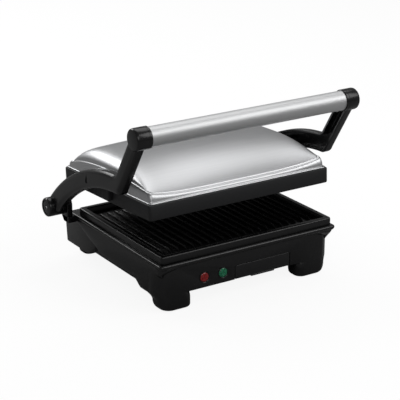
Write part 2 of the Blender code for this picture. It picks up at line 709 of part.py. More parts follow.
def drip_tray():
    """Open tray with a face that closes the opening in the housing's front."""
    floor_z = BODY_BOTTOM + COVER_FIT + COVER_PLATE + TRAY_GAP
    half = TRAY_BODY_WIDTH / 2
    tray = box("drip_tray", (TRAY_X - half, BODY_FRONT + 0.001, floor_z),
               (TRAY_X + half, BODY_FRONT + TRAY_LENGTH, TRAY_TOP), PARTS)
    cut(tray, box("tray_hollow", (TRAY_X - half + TRAY_WALL, BODY_FRONT + 0.0055,
                                  floor_z + TRAY_WALL),
                  (TRAY_X + half - TRAY_WALL, BODY_FRONT + TRAY_LENGTH - TRAY_WALL,
                   TRAY_TOP + 0.01), CUTTERS, corner=0.004))
    half_face = TRAY_FACE_WIDTH / 2 - TRAY_GAP
    add(tray, box("tray_face", (TRAY_X - half_face, BODY_FRONT, TRAY_FACE_BOTTOM),
                  (TRAY_X + half_face, BODY_FRONT + WALL, TRAY_FACE_TOP), CUTTERS,
                  edge=0.0006, edge_steps=1))
    return finish(tray, PRESS, BLACK_PLASTIC)


def lens(name, x, material):
    """Turned jewel with a low dome in front and a shoulder behind the housing wall."""
    stem = BODY_FRONT + WALL + LENS_STEM
    piece = rod(name, (x, BODY_FRONT - 0.0002, LENS_Z), (x, stem, LENS_Z), LENS_RADIUS, PARTS)
    dome = rod(name + "_dome", (x, BODY_FRONT, LENS_Z), (x, BODY_FRONT - LENS_PROUD, LENS_Z),
               LENS_RADIUS - 0.0003, CUTTERS, end_radius=LENS_RADIUS * 0.6)
    add(piece, dome)
    return finish(piece, PRESS, material, 35)


def indicator_board():
    """Board behind the lenses, standing on the bottom cover."""
    front = BODY_FRONT + WALL + LENS_STEM + GAP
    low = BODY_BOTTOM + COVER_FIT + COVER_PLATE + GAP
    board = box("indicator_board", (POWER_LIGHT_X - BOARD_MARGIN, front, low),
                (READY_LIGHT_X + BOARD_MARGIN, front + BOARD_THICKNESS,
                 DECK_Z - BOARD_BELOW_DECK), PARTS)
    return finish(board, PRESS, BOARD)


def inlet_gland():
    """Strain relief for the mains cord, a stepped bush in the rear wall."""
    wall_in = BODY_REAR - WALL
    gland = rod("power_inlet_gland", (GLAND_X, wall_in - 0.004, GLAND_Z),
                (GLAND_X, BODY_REAR + 0.005, GLAND_Z), GLAND_RADIUS - GLAND_STEP, PARTS,
                sides=20)
    collar = rod("gland_collar", (GLAND_X, BODY_REAR + GAP, GLAND_Z),
                 (GLAND_X, BODY_REAR + 0.003, GLAND_Z), GLAND_RADIUS, CUTTERS, sides=20)
    boot = rod("gland_boot", (GLAND_X, BODY_REAR + 0.002, GLAND_Z),
               (GLAND_X, BODY_REAR + 0.014, GLAND_Z), GLAND_RADIUS - 0.0015, CUTTERS,
               sides=20, end_radius=GLAND_BORE + 0.0018)
    bore = rod("gland_bore", (GLAND_X, BODY_REAR, GLAND_Z),
               (GLAND_X, BODY_REAR + 0.020, GLAND_Z), GLAND_BORE, CUTTERS, sides=16)
    add(gland, collar, boot)
    cut(gland, bore)
    return finish(gland, PRESS, RUBBER, 40)


def base_assembly():
    plate_top = DECK_Z + GAP + PLATE_RIM_HEIGHT
    plate_frame = new_empty("lower_plate_seat", PRESS, (0, 0, plate_top))
    underside = -PLATE_FLOOR_DROP - PLATE_FLOOR - GAP
    housing()
    bottom_cover()
    feet()
    drip_tray()
    grill_plate("lower_grill_plate", plate_frame, CAST_PLATE, True)
    heating_element("lower_heating_element", plate_frame, ELEMENT_SHEATH,
                    underside - ELEMENT_RADIUS)
    thermostat("lower_thermostat", plate_frame, BRIGHT_METAL, underside)
    reflector("lower_reflector", plate_frame, BRIGHT_METAL, REFLECTOR_Z - plate_top)
    lens("power_light_lens", POWER_LIGHT_X, RED_LENS)
    lens("ready_light_lens", READY_LIGHT_X, GREEN_LENS)
    indicator_board()
    inlet_gland()


# Arms and handle ----------------------------------------------------------------------

def arm_outline(inset):
    """Side view of a cranked arm, shrunk inwards all round by inset."""
    hinge = Vector((HINGE_Y, HINGE_Z))
    bar = Vector((BAR_Y, BAR_Z))
    reach = HINGE_Y - ARM_CROWN_Y
    drop = ARM_CROWN_Z - HINGE_Z
    radius = (reach * reach + drop * drop) / (2 * drop)
    centre = Vector((ARM_CROWN_Y, ARM_CROWN_Z - radius))
    band = ARM_HALF_BAND - inset
    post = ARM_HALF_POST - inset
    barrel = BARREL_RADIUS - ARM_END_INSET - inset
    socket = SOCKET_RADIUS - ARM_END_INSET - inset
    elbow_angle = math.asin((ELBOW_Y - ARM_CROWN_Y) / radius)
    elbow = centre + radius * Vector((math.sin(elbow_angle), math.cos(elbow_angle)))
    up = (bar - elbow).normalized()
    back = Vector((up.y, -up.x))
    hinge_angle = math.asin(reach / radius) - math.sqrt(barrel ** 2 - band ** 2) / radius

    def on_band(angle, offset):
        r = radius + offset
        return centre + r * Vector((math.sin(angle), math.cos(angle)))

    # inner corner: where the band's upper edge meets the back of the upright
    start = elbow + back * post - centre
    along = start.dot(up)
    reach_up = -along + math.sqrt(along ** 2 - start.length_squared + (radius + band) ** 2)
    corner = centre + start + up * reach_up
    corner_angle = math.atan2(corner.x - centre.x, corner.y - centre.y)

    points = []
    steps = 10
    for i in range(steps + 1):
        angle = hinge_angle + (corner_angle - hinge_angle) * i / steps
        points.append(on_band(angle, band))
    neck = math.sqrt(socket ** 2 - post ** 2)
    points.append(bar + back * post - up * neck)
    back_angle = math.degrees(math.atan2(back.y * post - up.y * neck,
                                         back.x * post - up.x * neck))
    front_angle = math.degrees(math.atan2(-back.y * post - up.y * neck,
                                          -back.x * post - up.x * neck)) + 360
    points += [Vector(p) for p in arc(bar, socket, back_angle, front_angle, 10)[1:]]
    turn_start = math.degrees(math.atan2(-back.y, -back.x)) + 360
    down = on_band(elbow_angle, -1.0) - elbow
    turn_end = math.degrees(math.atan2(down.y, down.x)) + 360
    points += [Vector(p) for p in arc(elbow, post, turn_start, turn_end, 6, band)]
    for i in range(1, steps + 1):
        angle = elbow_angle + (hinge_angle - elbow_angle) * i / steps
        points.append(on_band(angle, -band))
    last = points[-1] - hinge
    first = points[0] - hinge
    low_angle = math.degrees(math.atan2(last.y, last.x))
    high_angle = math.degrees(math.atan2(first.y, first.x))
    if low_angle > 0:
        low_angle -= 360
    points += [Vector(p) for p in arc(hinge, barrel, low_angle, high_angle, 9)[1:-1]]
    return [(p.x, p.y) for p in points]


def arm(word, side):
    """Channel-section arm with its hinge barrel, lid boss and handle socket."""
    piece = side_prism("arm_" + word, arm_outline(0.0), side * ARM_INSIDE,
                       side * ARM_OUTSIDE, PARTS)
    tag = "arm_" + word
    cut(piece, side_prism(tag + "_channel", arm_outline(ARM_FLANGE),
                          side * (ARM_INSIDE - OVERSHOOT), side * (ARM_OUTSIDE - ARM_WEB),
                          CUTTERS))
    hinge = (HINGE_Y, HINGE_Z)
    bar = (BAR_Y, BAR_Z)
    pivot = (PIVOT_Y, PIVOT_Z)

    def along_x(part, centre, x_start, x_end, radius, sides=24):
        return rod(f"{tag}_{part}", (side * x_start, *centre), (side * x_end, *centre),
                   radius, CUTTERS, sides=sides)

    add(piece,
        along_x("barrel", hinge, TOWER_OUTSIDE + BARREL_GAP, BARREL_OUTSIDE, BARREL_RADIUS),
        along_x("boss", pivot, BOSS_INSIDE, ARM_OUTSIDE - 0.001, BOSS_RADIUS, 20),
        along_x("socket", bar, SOCKET_MOUTH, SOCKET_OUTSIDE, SOCKET_RADIUS))
    cut(piece,
        along_x("axle_bore", hinge, TOWER_OUTSIDE - OVERSHOOT,
                TOWER_OUTSIDE + BARREL_GAP + AXLE_ENGAGEMENT + GAP,
                AXLE_RADIUS + RUNNING_GAP),
        along_x("cap_recess", hinge, BARREL_OUTSIDE - HUB_CAP_THICKNESS - GAP,
                BARREL_OUTSIDE + OVERSHOOT, HUB_CAP_RADIUS + GAP),
        along_x("pin_bore", pivot, BOSS_INSIDE - OVERSHOOT, ARM_OUTSIDE - PIN_BORE_WALL,
                PIN_RADIUS + GAP, 16),
        along_x("tube_bore", bar, SOCKET_MOUTH - OVERSHOOT, SOCKET_MOUTH + SOCKET_DEPTH + GAP,
                TUBE_RADIUS + GAP))
    add(piece, along_x("tenon", bar, SOCKET_MOUTH - TENON_REACH,
                       SOCKET_MOUTH + SOCKET_DEPTH + 0.002, TUBE_RADIUS - TUBE_WALL - GAP))
    cut(piece, handle_screw_hole(tag + "_screw_hole", side))
    return finish(piece, ARMS, BLACK_PLASTIC)


def handle_screw_hole(name, side):
    x = side * (SOCKET_MOUTH - HANDLE_SCREW_INBOARD)
    under = BAR_Z - TUBE_RADIUS
    return rod(name, (x, BAR_Y, under - OVERSHOOT),
               (x, BAR_Y, under + HANDLE_SHANK_REACH + OVERSHOOT),
               HANDLE_SCREW_RADIUS * HANDLE_SHANK_SHARE + GAP, CUTTERS, sides=12)


def handle_tube():
    """Steel tube pushed over the two tenons."""
    reach = SOCKET_MOUTH + SOCKET_DEPTH
    tube = rod("handle_tube", (-reach, BAR_Y, BAR_Z), (reach, BAR_Y, BAR_Z), TUBE_RADIUS,
               PARTS, sides=32)
    cut(tube, rod("tube_inside", (-reach - 0.01, BAR_Y, BAR_Z), (reach + 0.01, BAR_Y, BAR_Z),
                  TUBE_RADIUS - TUBE_WALL, CUTTERS, sides=32))
    for word, side in SIDES.items():
        cut(tube, handle_screw_hole("tube_screw_hole_" + word, side))
    return finish(tube, ARMS, BRUSHED, 40)


def handle_screws():
    for word, side in SIDES.items():
        x = side * (SOCKET_MOUTH - HANDLE_SCREW_INBOARD)
        under = BAR_Z - TUBE_RADIUS - GAP
        screw = rod("handle_screw_" + word, (x, BAR_Y, under),
                    (x, BAR_Y, under - HANDLE_SCREW_HEAD), HANDLE_SCREW_RADIUS, PARTS, sides=16,
                    end_radius=HANDLE_SCREW_RADIUS * 0.7)
        add(screw, rod("handle_screw_shank_" + word,
                       (x, BAR_Y, under - HANDLE_SCREW_HEAD / 2),
                       (x, BAR_Y, under + HANDLE_SHANK_REACH),
                       HANDLE_SCREW_RADIUS * HANDLE_SHANK_SHARE, CUTTERS, sides=12))
        finish(screw, ARMS, BRIGHT_METAL, 40)


def hub_caps():
    """Discs that close the barrels, each held by one screw."""
    for word, side in SIDES.items():
        inner = side * (BARREL_OUTSIDE - HUB_CAP_THICKNESS)
        face = side * (BARREL_OUTSIDE - HUB_CAP_SUNK)
        cap = rod("hub_cap_" + word, (inner, HINGE_Y, HINGE_Z), (face, HINGE_Y, HINGE_Z),
                  HUB_CAP_RADIUS, PARTS)
        sink = face - side * HUB_SCREW_DEPTH
        cut(cap, rod("cap_sink_" + word, (sink, HINGE_Y, HINGE_Z),
                     (face + side * OVERSHOOT, HINGE_Y, HINGE_Z), HUB_SCREW_RADIUS + GAP,
                     CUTTERS, sides=16))
        finish(cap, ARMS, BLACK_PLASTIC, 40)
        screw = rod("hub_screw_" + word, (sink + side * GAP, HINGE_Y, HINGE_Z),
                    (face - side * 0.0001, HINGE_Y, HINGE_Z), HUB_SCREW_RADIUS, PARTS,
                    sides=16)
        finish(screw, ARMS, BRIGHT_METAL, 40)


def axles():
    """Steel pins on the hinge line, from the towers into the barrels."""
    for word, side in SIDES.items():
        start = side * (TOWER_INSIDE + AXLE_START + GAP)
        end = side * (TOWER_OUTSIDE + BARREL_GAP + AXLE_ENGAGEMENT)
        pin = rod("hinge_axle_" + word, (start, HINGE_Y, HINGE_Z), (end, HINGE_Y, HINGE_Z),
                  AXLE_RADIUS, PARTS)
        finish(pin, HINGE, BRIGHT_METAL, 40)


def pivot_pins():
    """Headed pins through the lid's ears into the bosses of the arms."""
    for word, side in SIDES.items():
        head = side * (EAR_OUTSIDE + RUNNING_GAP)
        pin = rod("lid_pivot_pin_" + word, (side * (EAR_INSIDE + 0.0025), PIVOT_Y, PIVOT_Z),
                  (side * (ARM_OUTSIDE - PIN_BORE_WALL - GAP), PIVOT_Y, PIVOT_Z), PIN_RADIUS,
                  PARTS, sides=20)
        add(pin, rod("pin_washer_" + word, (head, PIVOT_Y, PIVOT_Z),
                     (side * (BOSS_INSIDE - GAP), PIVOT_Y, PIVOT_Z), PIN_HEAD_RADIUS, CUTTERS,
                     sides=20))
        finish(pin, ARMS, BRIGHT_METAL, 40)


def arm_assembly():
    for word, side in SIDES.items():
        arm(word, side)
    handle_tube()
    handle_screws()
    hub_caps()
    axles()
    pivot_pins()


# Lid ----------------------------------------------------------------------------------

def lid_frame():
    """Band round the lid with the deck that carries plate and cover, and two ears."""
    half = LID_WIDTH / 2
    back = LID_FRONT + LID_DEPTH
    top = BAND_BOTTOM + BAND_HEIGHT
    seat_low = BAND_BOTTOM + UPPER_PLATE_DROP + PLATE_RIM_HEIGHT + GAP
    seat_top = seat_low + BAND_SEAT
    frame = box("lid_frame", (-half, LID_FRONT, BAND_BOTTOM), (half, back, top), PARTS,
                corner=BAND_CORNER, edge=0.0010)
    inner = half - BAND_WALL
    for name, low, high in (("below", BAND_BOTTOM - 0.01, seat_low),
                            ("above", seat_top, top + 0.01)):
        cut(frame, box("band_pocket_" + name, (-inner, LID_FRONT + BAND_WALL, low),
                       (inner, back - BAND_WALL, high), CUTTERS,
                       corner=BAND_CORNER - BAND_WALL))
    window = PLATE_DISH_INSET - 0.003
    centre = LID_FRONT + LID_DEPTH / 2
    half_x = PLATE_WIDTH / 2 - window
    half_y = PLATE_DEPTH / 2 - window
    cut(frame, box("band_window", (-half_x, centre - half_y, seat_low - 0.002),
                   (half_x, centre + half_y, seat_top + 0.002), CUTTERS))
    for word, side in SIDES.items():
        outline = [(-EAR_HALF_BASE, BAND_BOTTOM + 0.004), (EAR_HALF_BASE, BAND_BOTTOM + 0.004)]
        outline += [(EAR_HALF_BASE, top - 0.002)]
        outline += arc((0, 0), EAR_RADIUS, 10, 170, 10)
        outline += [(-EAR_HALF_BASE, top - 0.002)]
        add(frame, side_prism("ear_" + word, outline, side * EAR_INSIDE, side * EAR_OUTSIDE,
                              CUTTERS))
        cut(frame, rod("ear_bore_" + word, (side * (EAR_INSIDE - 0.001), 0, 0),
                       (side * (EAR_OUTSIDE + 0.002), 0, 0), PIN_RADIUS + RUNNING_GAP,
                       CUTTERS, sides=20))
    return finish(frame, LID, BAND_PLASTIC)


def cover_ring(half_x, half_y, power, count):
    """Points on a rounded rectangle (superellipse), counter-clockwise."""
    points = []
    for i in range(count):
        angle = 2 * math.pi * i / count
        c = math.cos(angle)
        s = math.sin(angle)
        x = half_x * math.copysign(abs(c) ** (2 / power), c)
        y = half_y * math.copysign(abs(s) ** (2 / power), s)
        points.append((x, y))
    return points


def cover_height(x, y, half_x, half_y):
    """Height of the dome over its flange: steep ends, long crown front to back."""
    across = max(0.0, 1 - abs(x / half_x) ** 9)
    along = max(0.0, 1 - abs(y / half_y) ** 2.8)
    return COVER_RISE * across ** 0.55 * along ** 0.72


def lid_cover():
    """Pressed steel dome: concentric rings lofted from the flange to the crown."""
    base = BAND_BOTTOM + BAND_HEIGHT + GAP
    centre = LID_FRONT + LID_DEPTH / 2
    half_x = LID_WIDTH / 2 - COVER_INSET
    half_y = LID_DEPTH / 2 - COVER_INSET
    dome_x = half_x - COVER_FLANGE
    dome_y = half_y - COVER_FLANGE
    count = 48
    bm = bmesh.new()
    rings = []
    shares = [1.0, 0.985, 0.96, 0.92, 0.85, 0.72, 0.50, 0.25]
    outer = [(x, y, COVER_SHEET) for x, y in cover_ring(half_x, half_y, 14, count)]
    sets = [outer]
    for share in shares:
        ring = cover_ring(dome_x * share, dome_y * share, 12 - 5 * (1 - share), count)
        sets.append([(x, y, COVER_SHEET + COVER_LIFT + cover_height(x, y, dome_x, dome_y))
                     for x, y in ring])
    for ring in sets:
        rings.append([bm.verts.new((x, centre + y, base + z)) for x, y, z in ring])
    for lower, upper in zip(rings, rings[1:]):
        for i in range(count):
            j = (i + 1) % count
            bm.faces.new((lower[i], lower[j], upper[j], upper[i]))
    crown = bm.verts.new((0, centre, base + COVER_SHEET + COVER_RISE))
    for i in range(count):
        bm.faces.new((rings[-1][i], rings[-1][(i + 1) % count], crown))
    cover = mesh_object("lid_cover", bm, PARTS)
    sheet = cover.modifiers.new("sheet", "SOLIDIFY")
    sheet.thickness = COVER_SHEET
    sheet.offset = -1.0
    return finish(cover, LID, BRUSHED, 40)


def lid_assembly():
    face = BAND_BOTTOM + UPPER_PLATE_DROP
    centre = LID_FRONT + LID_DEPTH / 2
    seat = new_empty("upper_plate_seat", LID, (0, centre + PLATE_DEPTH / 2, face),
                     (math.pi, 0.0, 0.0))
    underside = -PLATE_FLOOR_DROP - PLATE_FLOOR - GAP
    lid_frame()
    lid_cover()
    grill_plate("upper_grill_plate", seat, CAST_PLATE, False)
    heating_element("upper_heating_element", seat, ELEMENT_SHEATH,
                    underside - ELEMENT_RADIUS)
    thermostat("upper_thermostat", seat, BRIGHT_METAL, underside)
    reflector("upper_reflector", seat, BRIGHT_METAL, underside - UPPER_REFLECTOR_DROP)


# Build --------------------------------------------------------------------------------

clear_scene()
PARTS = new_collection("panini_press")
CUTTERS = new_collection("panini_press_cutters")

BLACK_PLASTIC = new_material("black_plastic", BLACK, 0.32, 0.0)
BAND_PLASTIC = new_material("band_plastic", DARK, 0.55, 0.0)
RUBBER = new_material("rubber", (0.015, 0.015, 0.015), 0.85, 0.0)
CAST_PLATE = new_material("cast_plate", (0.022, 0.022, 0.024), 0.45, 0.2)
BRUSHED = new_material("brushed_steel", STEEL, 0.30, 1.0)
BRIGHT_METAL = new_material("bright_metal", (0.70, 0.70, 0.71), 0.25, 1.0)
ELEMENT_SHEATH = new_material("element_sheath", (0.25, 0.24, 0.23), 0.5, 1.0)
RED_LENS = new_material("red_lens", (0.50, 0.01, 0.01), 0.15, 0.0)
GREEN_LENS = new_material("green_lens", (0.02, 0.35, 0.14), 0.15, 0.0)
BOARD = new_material("board", (0.05, 0.22, 0.08), 0.6, 0.0)

PRESS = new_empty("press_origin", None, (0, -MIDDLE_Y, 0))
HINGE_POINT = Vector((0, HINGE_Y, HINGE_Z))
PIVOT_POINT = Vector((0, PIVOT_Y, PIVOT_Z))
HINGE = new_empty("hinge_line", PRESS, HINGE_POINT, drawn_from=HINGE_POINT)
ARMS = new_empty("arm_frame", HINGE, (0, 0, 0), drawn_from=HINGE_POINT)
LID = new_empty("lid_pivot", ARMS, PIVOT_POINT - HINGE_POINT, (-LID_PITCH, 0.0, 0.0))

base_assembly()
arm_assembly()
lid_assembly()
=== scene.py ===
import json
import math

import bmesh
import bpy
from mathutils import Matrix, Vector


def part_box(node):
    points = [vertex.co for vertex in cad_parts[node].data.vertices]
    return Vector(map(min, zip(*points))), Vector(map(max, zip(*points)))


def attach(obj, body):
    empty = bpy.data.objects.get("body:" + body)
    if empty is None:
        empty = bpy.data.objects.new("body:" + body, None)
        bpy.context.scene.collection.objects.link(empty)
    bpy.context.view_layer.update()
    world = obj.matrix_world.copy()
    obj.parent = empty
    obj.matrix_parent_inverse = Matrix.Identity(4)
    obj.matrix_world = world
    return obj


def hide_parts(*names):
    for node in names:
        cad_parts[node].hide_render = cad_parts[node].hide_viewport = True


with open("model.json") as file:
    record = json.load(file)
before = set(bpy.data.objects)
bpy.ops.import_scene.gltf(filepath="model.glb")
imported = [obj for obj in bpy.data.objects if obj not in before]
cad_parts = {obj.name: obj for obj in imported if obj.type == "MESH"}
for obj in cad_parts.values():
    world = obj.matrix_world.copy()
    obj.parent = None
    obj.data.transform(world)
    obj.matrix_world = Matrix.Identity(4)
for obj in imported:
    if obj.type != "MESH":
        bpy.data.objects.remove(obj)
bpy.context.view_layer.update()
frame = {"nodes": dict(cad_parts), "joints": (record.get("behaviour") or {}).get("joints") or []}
print("panini press: frame loaded,", len(frame["nodes"]), "CAD nodes")

# Drawings are in millimetres. Depth y is measured back from the lower plate's front edge.
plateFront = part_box("lower_grill_plate")[0].y
levelJoint = [j for j in frame["joints"] if j["name"] == "lid_level"][0]
drawnToFrame = Matrix.Translation((0, plateFront, 0)) @ Matrix.Scale(0.001, 4)
lidPitch = math.radians(3.0)
lidToFrame = (Matrix.Translation(levelJoint["pos_m"])
              @ Matrix.Rotation(-lidPitch, 4, "X") @ Matrix.Scale(0.001, 4))


def pieceFrom(name, bm, place=drawnToFrame, sharpAngle=38, recalc=True):
    if recalc:
        bmesh.ops.recalc_face_normals(bm, faces=bm.faces)
    mesh = bpy.data.meshes.new(name)
    bm.to_mesh(mesh)
    bm.free()
    mesh.transform(place)
    mesh.shade_smooth()
    mesh.set_sharp_from_angle(angle=math.radians(sharpAngle))
    piece = bpy.data.objects.new(name, mesh)
    bpy.context.scene.collection.objects.link(piece)
    return piece


def settle(piece, sharpAngle):
    # the evaluated mesh takes the place of the piece's modifiers
    bpy.context.view_layer.update()
    ready = piece.evaluated_get(bpy.context.evaluated_depsgraph_get())
    mesh = bpy.data.meshes.new_from_object(ready)
    piece.modifiers.clear()
    piece.data = mesh
    mesh.shade_smooth()
    mesh.set_sharp_from_angle(angle=math.radians(sharpAngle))


def cutAway(piece, cutters, sharpAngle=38, softenWidth=0.0):
    for cutter in cutters:
        cut = piece.modifiers.new("cut", "BOOLEAN")
        cut.operation = "DIFFERENCE"
        cut.solver = "EXACT"
        cut.object = cutter
    if softenWidth:
        soften = piece.modifiers.new("soften", "BEVEL")
        soften.width = softenWidth
        soften.segments = 2
        soften.limit_method = "ANGLE"
        soften.angle_limit = math.radians(60)
    settle(piece, sharpAngle)
    for cutter in cutters:
        bpy.data.objects.remove(cutter, do_unlink=True)
    return piece


def finishPiece(piece, body, material, replaced):
    piece.data.materials.clear()
    piece.data.materials.append(material)
    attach(piece, body)
    if replaced:
        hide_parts(*replaced)


def roundedRect(halfX, halfY, radius, cornerSteps, sideSteps=1):
    # points run counter-clockwise, with sideSteps stretches on each straight side
    points = []
    turns = ((1, 1, 0), (-1, 1, 90), (-1, -1, 180), (1, -1, 270))
    for k, (signX, signY, start) in enumerate(turns):
        centreX, centreY = signX * (halfX - radius), signY * (halfY - radius)
        for i in range(cornerSteps + 1):
            angle = math.radians(start + 90 * i / cornerSteps)
            points.append((centreX + radius * math.cos(angle),
                           centreY + radius * math.sin(angle)))
        lastX, lastY = points[-1]
        nextX, nextY, nextStart = turns[(k + 1) % 4]
        angle = math.radians(nextStart)
        endX = nextX * (halfX - radius) + radius * math.cos(angle)
        endY = nextY * (halfY - radius) + radius * math.sin(angle)
        for i in range(1, sideSteps):
            share = i / sideSteps
            points.append((lastX + (endX - lastX) * share, lastY + (endY - lastY) * share))
    return points


def loft(bm, rings, capStart=True, fan=False):
    rows = [[bm.verts.new(p) for p in ring] for ring in rings]
    count = len(rows[0])
    for low, high in zip(rows, rows[1:]):
        for i in range(count):
            j = (i + 1) % count
            bm.faces.new((low[i], low[j], high[j], high[i]))
    for row in (rows[0], rows[-1]) if capStart else (rows[-1],):
        if fan:
            hub = bm.verts.new(sum((v.co for v in row), Vector()) / count)
            for i in range(count):
                bm.faces.new((row[i], row[(i + 1) % count], hub))
        else:
            bm.faces.new(row)


def shrunkRings(section, halfX, halfY, corner, least, steps, middle=(0, 0), sideSteps=1):
    # one rounded rectangle for each (inset, height) of the section
    return [[(x + middle[0], y + middle[1], z) for x, y in
             roundedRect(halfX - inset, halfY - inset, max(corner - inset, least), steps,
                         sideSteps)] for inset, z in section]


def loopLoft(bm, rings):
    # closed both ways, such as a frame with a wall section all round
    rows = [[bm.verts.new(p) for p in ring] for ring in rings]
    count = len(rows[0])
    for k, low in enumerate(rows):
        high = rows[(k + 1) % len(rows)]
        for i in range(count):
            j = (i + 1) % count
            bm.faces.new((low[i], low[j], high[j], high[i]))


def turned(bm, profile, origin, axis, segments=48):
    # profile holds (along, radius); a radius of 0 closes the end to a point
    order = {"X": (0, 1, 2), "Y": (1, 2, 0), "Z": (2, 0, 1)}[axis]
    rows = []
    for distance, radius in profile:
        row = []
        for i in range(segments if radius > 0 else 1):
            angle = 2 * math.pi * i / segments
            place = Vector(origin)
            for k, part in zip(order, (distance, radius * math.cos(angle),
                                       radius * math.sin(angle))):
                place[k] += part
            row.append(bm.verts.new(place))
        rows.append(row)
    for low, high in zip(rows, rows[1:]):
        for i in range(segments):
            j = (i + 1) % segments
            if len(low) == 1:
                bm.faces.new((low[0], high[i], high[j]))
            elif len(high) == 1:
                bm.faces.new((low[i], low[j], high[0]))
            else:
                bm.faces.new((low[i], low[j], high[j], high[i]))


def quarterRound(size, steps):
    # (inset, rise) pairs, from a flat end out to the full side
    turns = [math.radians(90 * i / steps) for i in range(steps + 1)]
    return [(size * (1 - math.sin(turn)), size * (1 - math.cos(turn))) for turn in turns]


def softBox(bm, low, high, corner, edge=0.0, cornerSteps=6):
    # box with rounded upright corners and softened top and bottom edges
    low, high = Vector(low), Vector(high)
    half, middle = (high - low) / 2, (high + low) / 2
    soft = quarterRound(edge, 3) if edge else [(0, 0)]
    section = [(inset, low.z + rise) for inset, rise in soft]
    section += [(inset, high.z - rise) for inset, rise in reversed(soft)]
    loft(bm, shrunkRings(section, half.x, half.y, corner, 0.1, cornerSteps, middle))


def sidePrism(bm, outline, xStart, xEnd, soften, softenSteps=3):
    # outline in (y, z), pushed from xStart to xEnd
    start = [bm.verts.new((xStart, y, z)) for y, z in outline]
    end = [bm.verts.new((xEnd, y, z)) for y, z in outline]
    made = [bm.faces.new(start), bm.faces.new(end)]
    for i in range(len(outline)):
        j = (i + 1) % len(outline)
        made.append(bm.faces.new((start[i], start[j], end[j], end[i])))
    bm.normal_update()
    bmesh.ops.recalc_face_normals(bm, faces=made)
    edges = {e for f in made for e in f.edges if e.calc_face_angle(0) > math.radians(32)}
    bmesh.ops.bevel(bm, geom=list(edges), offset=soften, segments=softenSteps,
                    profile=0.5, affect="EDGES", clamp_overlap=True)


def takeAway(piece, bm):
    # the piece's mesh moves into bm, and the piece goes
    bm.from_mesh(piece.data)
    bpy.data.objects.remove(piece, do_unlink=True)


def arcPoints(centre, radius, start, end, steps, endRadius=None):
    last = radius if endRadius is None else endRadius
    points = []
    for i in range(steps + 1):
        share = i / steps
        angle = math.radians(start + (end - start) * share)
        r = radius + (last - radius) * share
        points.append(Vector((centre[0] + r * math.cos(angle),
                              centre[1] + r * math.sin(angle))))
    return points


def smoothAt(table, at):
    # smooth curve through (place, value) pairs that are in rising order of place
    if at <= table[0][0]:
        return table[0][1]
    if at >= table[-1][0]:
        return table[-1][1]
    k = max(i for i in range(len(table) - 1) if table[i][0] <= at)
    (x0, y0), (x1, y1) = table[k], table[k + 1]
    before = table[k - 1] if k > 0 else table[k]
    after = table[k + 2] if k + 2 < len(table) else table[k + 1]
    slopeIn = (y1 - before[1]) / (x1 - before[0])
    slopeOut = (after[1] - y0) / (after[0] - x0)
    t = (at - x0) / (x1 - x0)
    width = x1 - x0
    return ((2 * t ** 3 - 3 * t ** 2 + 1) * y0 + (t ** 3 - 2 * t ** 2 + t) * width * slopeIn
            + (-2 * t ** 3 + 3 * t ** 2) * y1 + (t ** 3 - t ** 2) * width * slopeOut)


def setInputs(node, inputs):
    # plain values are set, and other nodes' outputs are linked
    for key, value in inputs.items():
        if isinstance(value, bpy.types.NodeSocket):
            node.id_data.links.new(value, node.inputs[key])
        else:
            node.inputs[key].default_value = value


def addNode(nodes, kind, inputs=None, **settings):
    node = nodes.new(kind)
    for key, value in settings.items():
        setattr(node, key, value)
    setInputs(node, inputs or {})
    return node


def mathNode(nodes, operation, first, second):
    return addNode(nodes, "ShaderNodeMath", {0: first, 1: second},
                   operation=operation).outputs[0]


def multiply(nodes, first, second):
    return mathNode(nodes, "MULTIPLY", first, second)


def combine(nodes, **parts):
    return addNode(nodes, "ShaderNodeCombineXYZ", parts).outputs[0]


def noiseNode(nodes, vector, scale, detail, roughness):
    return addNode(nodes, "ShaderNodeTexNoise", {
        "Vector": vector, "Scale": scale, "Detail": detail,
        "Roughness": roughness}).outputs["Fac"]


def mixColours(nodes, factor, first, second):
    return addNode(nodes, "ShaderNodeMix", {"Factor": factor, "A": first, "B": second},
                   data_type="RGBA").outputs["Result"]


def newTree(name, kind, inputs, outputs):
    tree = bpy.data.node_groups.new(name, kind)
    for way, sockets in (("INPUT", inputs), ("OUTPUT", outputs)):
        for label, socketKind in sockets.items():
            tree.interface.new_socket(label, in_out=way,
                                      socket_type="NodeSocket" + socketKind)
    entry = tree.nodes.new("NodeGroupInput")
    leave = tree.nodes.new("NodeGroupOutput")
    return tree, tree.nodes, entry.outputs, leave


def variedGloss(nodes, entry, noise):
    return multiply(nodes, mathNode(nodes, "SUBTRACT", noise, 0.5),
                    entry["Roughness Spread"])


def makeGrainGroup():
    # moulded or cast grain: fine height, slow mottling of the gloss
    group, nodes, entry, leave = newTree("mouldGrain", "ShaderNodeTree", {
        "Vector": "Vector", "Grain Scale": "Float", "Mottle Scale": "Float",
        "Base Roughness": "Float", "Roughness Spread": "Float"},
        {"Height": "Float", "Roughness": "Float"})
    fine = noiseNode(nodes, entry["Vector"], entry["Grain Scale"], 3.0, 0.6)
    slow = noiseNode(nodes, entry["Vector"], entry["Mottle Scale"], 4.0, 0.55)
    both = mathNode(nodes, "ADD", variedGloss(nodes, entry, slow),
                    variedGloss(nodes, entry, fine))
    rough = mathNode(nodes, "ADD", entry["Base Roughness"], both)
    setInputs(leave, {"Height": fine, "Roughness": rough})
    return group


